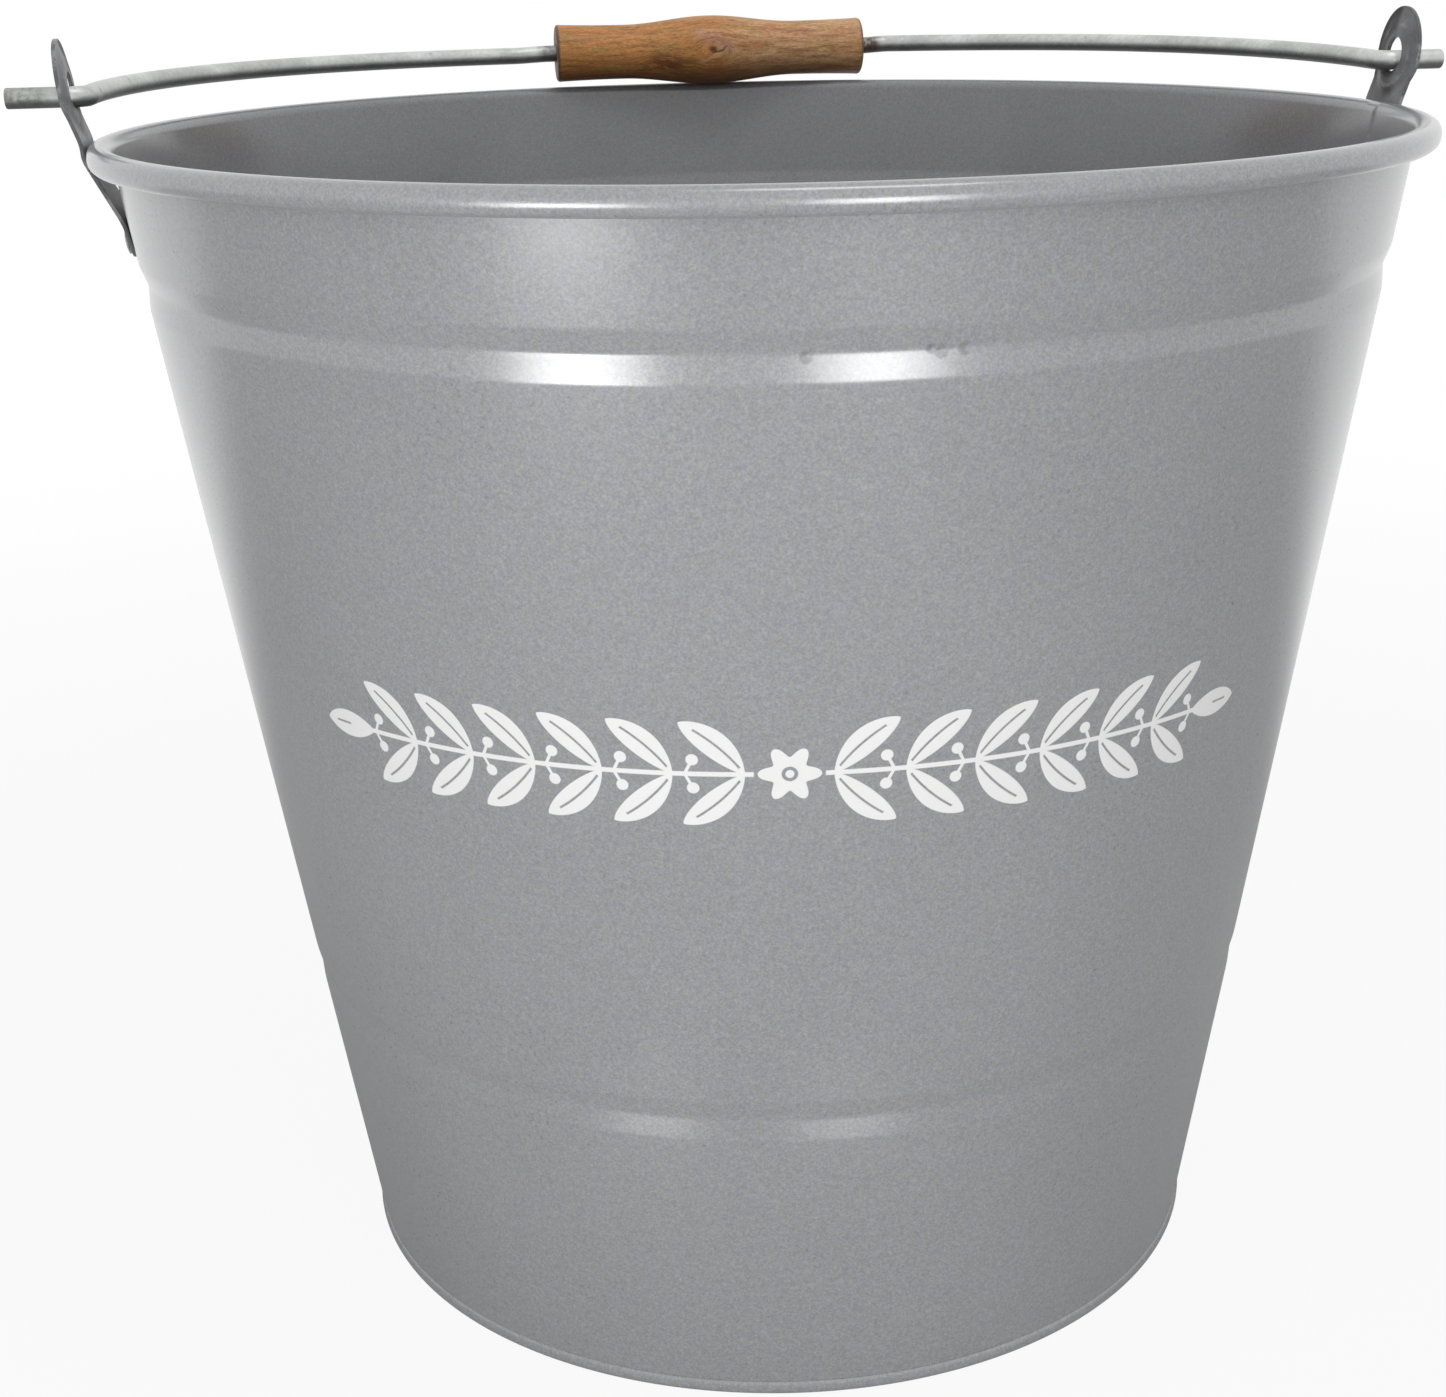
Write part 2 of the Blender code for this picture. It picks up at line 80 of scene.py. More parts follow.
# Base and its ring
BASE_SHEET = 0.0008
BASE_RECESS = 0.0066
RING_RADIUS = 0.1121
RING_HEIGHT = 0.0034
RING_SEAM = 0.00022
RING_WALL = 0.0009
RING_STEPS = 24
BASE_INNER_WALL = 0.0010
BASE_CORNER = 0.0012
CORNER_STEPS = 6

# Ears
EAR_SHEET = 0.0009
EAR_RIM_GAP = 0.0003
EAR_HOLE_RISE = 0.0110
EAR_HEAD_RADIUS = 0.0117
EAR_HOLE_RADIUS = 0.0042
EAR_HEAD_LEAN = math.radians(5.7)
EAR_DISH_DEPTH = 0.0009
EAR_DISH_FLAT_SHARE = 0.28
EAR_DISH_EDGE_SHARE = 0.86
EAR_NECK_WIDTH = 0.0200
EAR_NECK_DROP = 0.0009
EAR_STEP_RISE = 0.0082
EAR_STEP_OUT = 0.00315
EAR_SHOULDER_DROP = 0.0040
EAR_KINK_DROP = 0.0196
EAR_TIP_DROP = 0.0273
EAR_TIP_CORNER = 0.0070
EAR_BEND_ROUNDING = 0.0012
EAR_EDGE = 0.00018
EAR_EDGE_STEPS = 2
EAR_EDGE_ANGLE = math.radians(50)
EAR_SHARP_ANGLE = math.radians(40)
EAR_NECK_STEPS = 24
EAR_HEAD_STEPS = 76
EAR_RING_STEPS = 18
EAR_ROW_STEPS = 44

# Rivets
RIVET_HEAD_RADIUS = 0.0028
RIVET_SHANK_RADIUS = 0.0015
RIVET_HEAD_HEIGHT = 0.0007
RIVET_SPREAD = 0.0052
RIVET_RISE = 0.0040
RIVET_DOME_STEPS = 12
RIVET_SIDES = 40
WALL_FACET = math.radians(6)

# Bail wire
WIRE_RADIUS = 0.0024
WIRE_EDGE = 0.0005
BEND_RADIUS = 0.0036
HOLE_GAP = 0.0004
REACH = 0.153
LEFT_SIDE = {"sign": -1, "tail": 0.0147, "flat": 0.0500, "bow": 0.0005, "step": -0.0004}
RIGHT_SIDE = {"sign": 1, "tail": 0.0123, "flat": 0.0640, "bow": 0.0009, "step": 0.00045}
STEP_LENGTH = 0.0080
BEND_STEPS = 16
ARC_STEPS = 96
PATH_STEP = 0.0008
PATH_ROUNDING = 0.0012
WIRE_SIDES = 28
END_STEPS = 5

# Grip
GRIP_LENGTH = 0.0944
GRIP_OFFSET = 0.0086
GRIP_WAIST_RADIUS = 0.00795
GRIP_BELLY_RADIUS = 0.0101
GRIP_END_RADIUS = 0.0084
GRIP_EDGE = 0.0010
GRIP_BORE_GAP = 0.0004
GRIP_BELLY_SHARE = 0.56
GRIP_STEPS = 120
GRIP_SIDES = 96

# Camera, as fitted to the photograph
FOCAL_PIXELS = 2232.59
IMAGE_WIDTH = 1446
IMAGE_HEIGHT = 1397
PRINCIPAL_X = 750.98
PRINCIPAL_Y = 695.97
SENSOR_WIDTH = 36
CLIP_START = 0.01
CAMERA_DISTANCE = 0.56381
CAMERA_HEIGHT = 0.32837
CAMERA_PITCH = 0.32494
CAMERA_ROLL = -0.01928
CAMERA_YAW = -0.00952
CAMERA_TURN = math.radians(-9.2)

ROLL_CENTRE = (RIM_RADIUS - ROLL_RADIUS, RIM_HEIGHT - ROLL_RADIUS)
ROLL_MID = ROLL_RADIUS - SHEET / 2


def taper_of_wall():
    dx = ROLL_CENTRE[0] - (WALL_FOOT_RADIUS - SHEET / 2)
    dz = ROLL_CENTRE[1]
    return math.atan2(dx, dz) - math.asin(ROLL_MID / math.hypot(dx, dz))


TAPER = taper_of_wall()


def wall_radius(z):
    return WALL_FOOT_RADIUS + z * math.tan(TAPER)


def smooth(x):
    x = min(max(x, 0), 1)
    return x * x * (3 - 2 * x)


def new_object(name, verts, faces):
    mesh = bpy.data.meshes.new(name)
    mesh.from_pydata([tuple(v) for v in verts], [], faces)
    obj = bpy.data.objects.new(name, mesh)
    bpy.context.scene.collection.objects.link(obj)
    return obj


def clean(obj, sharp=SHARP_ANGLE):
    """Weld the mesh, turn its faces outward and shade it smooth with sharp corners kept."""
    bm = bmesh.new()
    bm.from_mesh(obj.data)
    bmesh.ops.remove_doubles(bm, verts=bm.verts, dist=WELD)
    bmesh.ops.recalc_face_normals(bm, faces=bm.faces)
    bm.to_mesh(obj.data)
    bm.free()
    obj.data.shade_smooth()
    obj.data.set_sharp_from_angle(angle=sharp)
    return obj


def bake(obj):
    """Work the object's modifiers into its mesh."""
    bpy.context.view_layer.update()
    graph = bpy.context.evaluated_depsgraph_get()
    mesh = bpy.data.meshes.new_from_object(obj.evaluated_get(graph))
    obj.modifiers.clear()
    obj.data = mesh
    return obj


def turned_faces(columns, count):
    """Faces between the columns of a closed outline of count points round an axis."""
    faces = []
    for i in range(columns):
        a, b = i * count, (i + 1) % columns * count
        for j in range(count):
            k = (j + 1) % count
            faces.append((a + j, b + j, b + k, a + k))
    return faces


def lathe(name, outline, steps):
    """A closed outline of (radius, height) turned round the Z axis."""
    verts = []
    for i in range(steps):
        angle = 2 * math.pi * i / steps
        c, s = math.cos(angle), math.sin(angle)
        verts += [(r * c, r * s, z) for r, z in outline]
    return clean(new_object(name, verts, turned_faces(steps, len(outline))))


def rounded_end(radius, edge):
    """Distances in from a round bar's end, and its radius there, over its rounded edge."""
    angles = np.linspace(0, math.pi / 2, END_STEPS + 1)
    return [(edge * (1 - math.cos(a)), radius - edge + edge * math.sin(a)) for a in angles]


# Body shell


def groove_inset(z):
    """How far the wall's middle line is pressed in at a height."""
    total = 0
    for height, depth in (UPPER_GROOVE, LOWER_GROOVE):
        keys = (-GROOVE_FALL, -GROOVE_FLAT / 2, GROOVE_FLAT / 2, GROOVE_RISE)
        levels = (0, depth, depth, 0)
        offsets = np.linspace(-GROOVE_ROUNDING, GROOVE_ROUNDING, ROUNDING_SAMPLES)
        total += float(np.interp(z - height + offsets, keys, levels).mean())
    return total


def roll_arc(first, last, steps, power):
    """Part of the rolled rim's middle line. A power over 2 flattens its outer face."""
    points = []
    for i in range(steps + 1):
        angle = first + (last - first) * i / steps
        c, s = math.cos(angle), math.sin(angle)
        if c > 0:
            c, s = (math.copysign(abs(v) ** (2 / power), v) for v in (c, s))
        points.append((ROLL_CENTRE[0] + ROLL_MID * c, ROLL_CENTRE[1] + ROLL_MID * s))
    return points


def wall_heights(high, low):
    """Heights of the wall's rows, closer together at the grooves."""
    heights = list(np.arange(high, low, -WALL_ROW))
    reach = 2 * GROOVE_ROUNDING
    for middle, _ in (UPPER_GROOVE, LOWER_GROOVE):
        heights += list(np.arange(middle - GROOVE_FALL - reach, middle + GROOVE_RISE + reach, FINE_ROW))
    heights = sorted(set(z for z in heights if low < z < high), reverse=True)
    kept = [heights[0]]
    for z in heights[1:]:
        if kept[-1] - z > FINE_ROW / 2:
            kept.append(z)
    return kept[1:] + [low]


def wall_middle_line():
    """Fine middle line of the wall's sheet, from the hidden end of the rolled rim to the foot."""
    points = roll_arc(ROLL_END_ANGLE, 0, ROLL_LOW_STEPS, ROLL_LOW_POWER)[:-1]
    points += roll_arc(0, math.pi - TAPER, ROLL_TOP_STEPS, ROLL_TOP_POWER)
    neck = RING_RADIUS - RING_WALL - RING_SEAM
    shoulder = RING_HEIGHT + RING_SEAM
    for z in wall_heights(points[-1][1], shoulder):
        points.append((wall_radius(z) - SHEET / 2 - groove_inset(z), z))
    points.append((neck - SHEET / 2, RING_HEIGHT - RING_SEAM))
    points.append((neck - SHEET / 2, CHANNEL_FLOOR + FIT_GAP))
    return np.array(points)


def two_sides(line, thickness):
    """The lines half a thickness to each side of a line."""
    ahead = np.gradient(line, axis=0)
    ahead /= np.linalg.norm(ahead, axis=1)[:, None]
    side = np.stack([-ahead[:, 1], ahead[:, 0]], 1)
    return line + side * thickness / 2, line - side * thickness / 2


def seam_share(azimuth):
    """1 on the side seam's strip, 0 away from it."""
    away = abs((azimuth - SEAM_AZIMUTH) * wall_radius(UPPER_GROOVE[0]))
    return min(max((SEAM_WIDTH / 2 - away) / SEAM_EDGE + 1, 0), 1)


def seam_rows_share(r, z):
    """1 on the wall between the base and the rolled rim, fading out over the rim's top."""
    share = min(max((z - BASE_RECESS - SEAM_EDGE) / SEAM_EDGE, 0), 1)
    if z > ROLL_CENTRE[1]:
        share *= 1 - smooth((r - ROLL_CENTRE[0] + ROLL_MID) / SEAM_FADE)
    return share


def make_body():
    """The sheet turned round the axis, with finer columns at the seam's raised strip."""
    line = wall_middle_line()
    outer, inner = sorted(two_sides(line, SHEET), key=lambda side: -side[-1][0])
    outline = [tuple(p) for p in outer] + [tuple(p) for p in inner[::-1]]
    inner_from = len(line)
    top_from = ROLL_LOW_STEPS + ROLL_TOP_STEPS // 2
    near = [SEAM_AZIMUTH + k * SEAM_EDGE / 4 / RIM_RADIUS for k in range(-SEAM_COLUMNS, SEAM_COLUMNS + 1)]
    azimuths = sorted([2 * math.pi * i / COLUMNS - math.pi for i in range(COLUMNS)] + near)
    verts = []
    for azimuth in azimuths:
        c, s = math.cos(azimuth), math.sin(azimuth)
        strip = seam_share(azimuth)
        for j, (r, z) in enumerate(outline):
            if strip and inner_from <= j < 2 * inner_from - top_from:
                r = r - SEAM_RAISE * strip * seam_rows_share(r, z)
            verts.append((r * c, r * s, z))
    return clean(new_object("body", verts, turned_faces(len(azimuths), len(outline))))


# Base


def corner_arc(centre, radius, first, last):
    angles = np.radians(np.linspace(first, last, CORNER_STEPS + 1))
    return [(centre[0] + radius * math.cos(a), centre[1] + radius * math.sin(a)) for a in angles]


def base_outline():
    """Section of the base disc and its ring with rounded folds."""
    grip_out = RING_RADIUS - RING_WALL
    grip_in = grip_out - SHEET - 2 * FIT_GAP
    inner = grip_in - BASE_INNER_WALL
    top = BASE_RECESS + BASE_SHEET
    half = RING_WALL / 2
    points = [(0, top), (grip_in - BASE_CORNER, top)]
    points += corner_arc((grip_in - BASE_CORNER, top - BASE_CORNER), BASE_CORNER, 90, 0)
    points += [(grip_in, CHANNEL_FLOOR), (grip_out, CHANNEL_FLOOR)]
    middle = RING_HEIGHT / 2
    for angle in np.radians(np.linspace(90, -90, RING_STEPS + 1)):
        points.append((grip_out + RING_WALL * math.cos(angle), middle + middle * math.sin(angle)))
    points.append((inner + half, 0))
    points += corner_arc((inner + half, half), half, -90, -180)
    points += corner_arc((inner - BASE_CORNER, BASE_RECESS - BASE_CORNER), BASE_CORNER, 0, 90)
    points.append((0, BASE_RECESS))
    return points


def make_base():
    """The disc and ring, less the empty faces that turning leaves on the axis."""
    obj = lathe("base", base_outline(), COLUMNS)
    bm = bmesh.new()
    bm.from_mesh(obj.data)
    poles = [f for f in bm.faces if f.calc_area() < NO_AREA]
    bmesh.ops.delete(bm, geom=poles, context="FACES_ONLY")
    bm.to_mesh(obj.data)
    bm.free()
    return obj


# Ears


def ear_rim_x():
    return RIM_RADIUS + EAR_RIM_GAP + EAR_SHEET / 2


def ear_hole_height():
    return RIM_HEIGHT + EAR_HOLE_RISE


def ear_tab_x(z):
    return wall_radius(z) + (FIT_GAP + EAR_SHEET / 2) / math.cos(TAPER)


def ear_bends():
    """Heights and places of the strip's bends, from its tip on the wall to its top."""
    tip_z = RIM_HEIGHT - EAR_TIP_DROP
    kink_z = RIM_HEIGHT - EAR_KINK_DROP
    step_z = RIM_HEIGHT + EAR_STEP_RISE
    top_z = ear_hole_height() + EAR_HEAD_RADIUS
    out = ear_rim_x() + EAR_STEP_OUT
    return [
        (tip_z, ear_tab_x(tip_z)),
        (kink_z, ear_tab_x(kink_z)),
        (RIM_HEIGHT - EAR_SHOULDER_DROP, ear_rim_x()),
        (RIM_HEIGHT - EAR_NECK_DROP, ear_rim_x()),
        (step_z, out),
        (top_z, out + (top_z - step_z) * math.tan(EAR_HEAD_LEAN)),
    ]


def ear_hole_x():
    heights, places = zip(*ear_bends())
    return float(np.interp(ear_hole_height(), heights, places)) - EAR_DISH_DEPTH


def ear_plain_x(z):
    """Place of the strip's middle before its head is dished, with its bends rounded."""
    heights, places = zip(*ear_bends())
    offsets = np.linspace(-EAR_BEND_ROUNDING, EAR_BEND_ROUNDING, ROUNDING_SAMPLES)
    return float(np.interp(z + offsets, heights, places).mean())


def ear_point(y, z):
    """A point of the strip's middle surface, dished round the hole."""
    from_hole = math.hypot(y, z - ear_hole_height()) - EAR_HOLE_RADIUS
    share = from_hole / (EAR_HEAD_RADIUS - EAR_HOLE_RADIUS)
    slope = (share - EAR_DISH_FLAT_SHARE) / (EAR_DISH_EDGE_SHARE - EAR_DISH_FLAT_SHARE)
    return (ear_plain_x(z) - EAR_DISH_DEPTH * (1 - smooth(slope)), y, z)


def ear_tip_z(y):
    """Height of the tab's rounded lower end."""
    tip_z = RIM_HEIGHT - EAR_TIP_DROP
    inset = abs(y) - (EAR_NECK_WIDTH / 2 - EAR_TIP_CORNER)
    if inset <= 0:
        return tip_z
    return tip_z + EAR_TIP_CORNER - math.sqrt(max(EAR_TIP_CORNER**2 - inset * inset, 0))


def ear_sheet():
    """The strip's middle surface: fine rings round its hole, then rows down its neck and tab."""
    half = math.asin(EAR_NECK_WIDTH / 2 / EAR_HEAD_RADIUS)
    rest = 2 * math.pi - 2 * half
    angles = [-math.pi / 2 - half + 2 * half * i / EAR_NECK_STEPS for i in range(EAR_NECK_STEPS)]
    angles += [-math.pi / 2 + half + rest * i / EAR_HEAD_STEPS for i in range(EAR_HEAD_STEPS)]
    verts, faces = [], []
    count = len(angles)
    for i in range(EAR_RING_STEPS + 1):
        radius = EAR_HOLE_RADIUS + (EAR_HEAD_RADIUS - EAR_HOLE_RADIUS) * i / EAR_RING_STEPS
        for a in angles:
            verts.append(ear_point(radius * math.cos(a), ear_hole_height() + radius * math.sin(a)))
    for i in range(EAR_RING_STEPS):
        for j in range(count):
            k = (j + 1) % count
            faces.append((i * count + j, i * count + k, (i + 1) * count + k, (i + 1) * count + j))
    row = [EAR_RING_STEPS * count + j for j in range(EAR_NECK_STEPS + 1)]
    top = [verts[v] for v in row]
    for i in range(1, EAR_ROW_STEPS + 1):
        lower = []
        for _, y, z in top:
            lower.append(len(verts))
            verts.append(ear_point(y, z + (ear_tip_z(y) - z) * i / EAR_ROW_STEPS))
        for j in range(EAR_NECK_STEPS):
            faces.append((row[j], row[j + 1], lower[j + 1], lower[j]))
        row = lower
    return verts, faces


def make_ear(name, side):
    """An ear: its middle surface with a sheet's thickness and slightly rounded edges."""
    obj = clean(new_object(name, *ear_sheet()))
    shell = obj.modifiers.new("Sheet", "SOLIDIFY")
    shell.thickness = EAR_SHEET
    shell.offset = 0
    shell.use_even_offset = True
    edge = obj.modifiers.new("Edge", "BEVEL")
    edge.width = EAR_EDGE
    edge.segments = EAR_EDGE_STEPS
    edge.limit_method = "ANGLE"
    edge.angle_limit = EAR_EDGE_ANGLE
    bake(obj)
    clean(obj, EAR_SHARP_ANGLE)
    if side < 0:
        obj.data.transform(Matrix.Rotation(math.pi, 4, "Z"))
    return obj


# Rivets


def wall_fall(y):
    """How far the faceted wall stands in from its corner's circle beside the ear's middle."""
    return y * math.tan(WALL_FACET / 2)


def make_rivet(name, side, row):
    """A rivet with two low domed heads, through one ear's tab and the wall."""
    backing = SHEET + (SEAM_RAISE if side - row > 1 else 0)
    outside = EAR_SHEET + 2 * FIT_GAP + wall_fall(RIVET_SPREAD)
    inside = -(backing + FIT_GAP)
    dome = RIVET_HEAD_HEIGHT
    edge = dome / 4
    angles = [math.pi / 2 * i / RIVET_DOME_STEPS for i in range(RIVET_DOME_STEPS + 1)]
    outline = []
    for angle in angles:
        r = RIVET_HEAD_RADIUS * math.sin(angle)
        outline.append((r, outside + edge + (dome - edge) * math.cos(angle)))
    outline += [(RIVET_HEAD_RADIUS, outside), (RIVET_SHANK_RADIUS, outside)]
    outline += [(RIVET_SHANK_RADIUS, inside), (RIVET_HEAD_RADIUS, inside)]
    for angle in angles:
        r = RIVET_HEAD_RADIUS * math.cos(angle)
        outline.append((r, inside - edge - (dome - edge) * math.sin(angle)))
    obj = lathe(name, outline, RIVET_SIDES)
    z = RIM_HEIGHT - EAR_TIP_DROP + RIVET_RISE
    turn = side * row * WALL_FACET / 2
    place = Matrix.Translation((side * (wall_radius(z) - wall_fall(RIVET_SPREAD)), row * RIVET_SPREAD, z))
    place = place @ Matrix.Rotation(turn if side > 0 else math.pi + turn, 4, "Z")
    place = place @ Matrix.Rotation(math.pi / 2 + TAPER, 4, "Y")
    obj.data.transform(place)
    return obj


# Bail


def pivot_height():
    return ear_hole_height() - EAR_HOLE_RADIUS + WIRE_RADIUS + HOLE_GAP


def grip_height():
    """Height of the grip's middle over the pivot, where its belly lies on the rolled rim."""
    across = ROLL_CENTRE[0] - math.hypot(REACH, GRIP_OFFSET)
    reach = ROLL_RADIUS + GRIP_BELLY_RADIUS + FIT_GAP
    return ROLL_CENTRE[1] + math.sqrt(reach * reach - across * across) - pivot_height()


def bail_side(sign, tail, flat, bow, step):
    """Half of the wire's middle line, from its end through the ear's hole."""
    hole_x = ear_hole_x()
    arc = hole_x - BEND_RADIUS
    points = [(sign * (hole_x + tail), 0, 0)]
    for i in range(BEND_STEPS + 1):
        angle = math.pi / 2 * i / BEND_STEPS
        x = hole_x - BEND_RADIUS * math.sin(angle)
        points.append((sign * x, BEND_RADIUS - BEND_RADIUS * math.cos(angle), 0))
    first = math.asin(BEND_RADIUS / arc)
    last = math.acos(flat / arc)
    lift = grip_height()
    for i in range(1, ARC_STEPS + 1):
        share = i / ARC_STEPS
        angle = first + (last - first) * share
        reach = arc * math.sin(angle) + (REACH - arc * math.sin(last)) * share * share
        height = lift * reach / REACH + bow * math.sin(math.pi * share) + step * share
        points.append((sign * arc * math.cos(angle), reach, height))
    points.append((sign * (flat - STEP_LENGTH), REACH, lift))
    return points


def even_path(points, step, rounding):
    """Points a step apart along a line, with its corners rounded and its ends kept."""
    points = np.array(points)
    lengths = np.r_[0, np.cumsum(np.linalg.norm(np.diff(points, axis=0), axis=1))]
    count = int(lengths[-1] / step)
    places = np.linspace(0, lengths[-1], count + 1)
    even = np.stack([np.interp(places, lengths, points[:, k]) for k in range(3)], 1)
    reach = int(round(rounding / step)) + 1
    weights = np.hanning(2 * reach + 3)[1:-1]
    weights /= weights.sum()
    padded = np.r_[[even[0] * 2 - p for p in even[reach:0:-1]], even]
    padded = np.r_[padded, [even[-1] * 2 - p for p in even[-2 : -2 - reach : -1]]]
    return np.stack([np.convolve(padded[:, k], weights, "valid") for k in range(3)], 1)


def tube(name, path, radius, edge, sides):
    """A round wire along a path, with slightly rounded ends."""
    path = np.array(path)
    ahead = np.gradient(path, axis=0)
    ahead /= np.linalg.norm(ahead, axis=1)[:, None]
    across = np.cross((0.0, 0.0, 1.0), ahead)
    across /= np.linalg.norm(across, axis=1)[:, None]
    over = np.cross(ahead, across)
    end = rounded_end(radius, edge)
    skip = int(edge / np.linalg.norm(path[1] - path[0])) + 2
    layers = [(path[0] + ahead[0] * inward, 0, r) for inward, r in end]
    layers += [(path[i], i, radius) for i in range(skip, len(path) - skip)]
    layers += [(path[-1] - ahead[-1] * inward, -1, r) for inward, r in end[::-1]]
    verts = []
    for centre, i, r in layers:
        for k in range(sides):
            a = 2 * math.pi * k / sides
            verts.append(centre + across[i] * r * math.cos(a) + over[i] * r * math.sin(a))
    faces = []
    for i in range(len(layers) - 1):
        for k in range(sides):
            m = (k + 1) % sides
            faces.append((i * sides + k, i * sides + m, (i + 1) * sides + m, (i + 1) * sides + k))
    faces.append(tuple(range(sides))[::-1])
    last = (len(layers) - 1) * sides
    faces.append(tuple(last + k for k in range(sides)))
    return clean(new_object(name, verts, faces))


def make_bail():
    route = bail_side(**LEFT_SIDE) + bail_side(**RIGHT_SIDE)[::-1]
    path = even_path(route, PATH_STEP, PATH_ROUNDING)
    path[:, 2] += pivot_height()
    return tube("bail", path, WIRE_RADIUS, WIRE_EDGE, WIRE_SIDES)


# Grip


def grip_radius(x):
    """Radius of the wood along its length: a belly, two waists and flared ends."""
    half = GRIP_LENGTH / 2
    belly = GRIP_BELLY_SHARE * half
    if abs(x) < belly:
        swell = (1 + math.cos(math.pi * x / belly)) / 2
        return GRIP_WAIST_RADIUS + (GRIP_BELLY_RADIUS - GRIP_WAIST_RADIUS) * swell
    share = (abs(x) - belly) / (half - belly)
    return GRIP_WAIST_RADIUS + (GRIP_END_RADIUS - GRIP_WAIST_RADIUS) * share * share


def make_grip():
    half = GRIP_LENGTH / 2
    side = half - GRIP_EDGE
    bore = WIRE_RADIUS + GRIP_BORE_GAP
    round_end = [(r, half - inward) for inward, r in rounded_end(GRIP_END_RADIUS, GRIP_EDGE)]
    outline = list(round_end)
    for i in range(1, GRIP_STEPS):
        z = side - 2 * side * i / GRIP_STEPS
        outline.append((grip_radius(z), z))
    outline += [(r, -z) for r, z in round_end[::-1]]
    outline += [(bore, -half), (bore, half)]
    obj = lathe("grip", outline, GRIP_SIDES)
    place = Matrix.Translation((GRIP_OFFSET, REACH, pivot_height() + grip_height()))
    obj.data.transform(place @ Matrix.Rotation(math.pi / 2, 4, "Y"))
    return obj


# Materials


def fill(node, **values):
    """Set a node's inputs by name, with _ for a space."""
    for name, value in values.items():
        node.inputs[name.replace("_", " ")].default_value = value


class Value:
    """A number that varies over a surface, as a node's socket that sums can be written with."""

    def __init__(self, tree, socket):
        self.tree = tree
        self.socket = socket

    def apply(self, operation, *others):
        node = self.tree.nodes.new("ShaderNodeMath")
        node.operation = operation
        for i, value in enumerate((self, *others)):
            if isinstance(value, Value):
                self.tree.links.new(value.socket, node.inputs[i])
            else:
                node.inputs[i].default_value = value
        return Value(self.tree, node.outputs[0])

    def __add__(self, other):
        return self.apply("ADD", other)

    def __sub__(self, other):
        return self.apply("SUBTRACT", other)

    def __mul__(self, other):
        return self.apply("MULTIPLY", other)

    def __truediv__(self, other):
        return self.apply("DIVIDE", other)

    def __neg__(self):
        return self * -1

    def __rsub__(self, other):
        return -self + other

    def abs(self):
        return self.apply("ABSOLUTE")

    def max(self, other):
        return self.apply("MAXIMUM", other)

    def min(self, other):
        return self.apply("MINIMUM", other)

    def step(self, low, high):
        """0 up to low, 1 from high on, with a smooth rise between them."""
        node = self.tree.nodes.new("ShaderNodeMapRange")
        node.interpolation_type = "SMOOTHSTEP"
        self.tree.links.new(self.socket, node.inputs["Value"])
        fill(node, From_Min=low, From_Max=high, To_Min=0, To_Max=1)
        return Value(self.tree, node.outputs["Result"])

    def fall(self, low, high):
        """1 up to low, 0 from high on, with a smooth fall between them."""
        return 1 - self.step(low, high)

    def band(self, middle, core, reach):
        """1 within core of middle, 0 from reach on, to both sides."""
        return (self - middle).abs().fall(core, reach)

    def swing(self, share):
        """A noise's rise and fall about its mean, as a share."""
        return (self - 0.5) * share


def span(one, other):
    """Distance from the point where both values are 0."""
    return (one * one + other * other).apply("SQRT")


def parts(tree, vector):
    """The three values of a vector socket."""
    split = tree.nodes.new("ShaderNodeSeparateXYZ")
    tree.links.new(vector, split.inputs[0])
    return [Value(tree, output) for output in split.outputs]


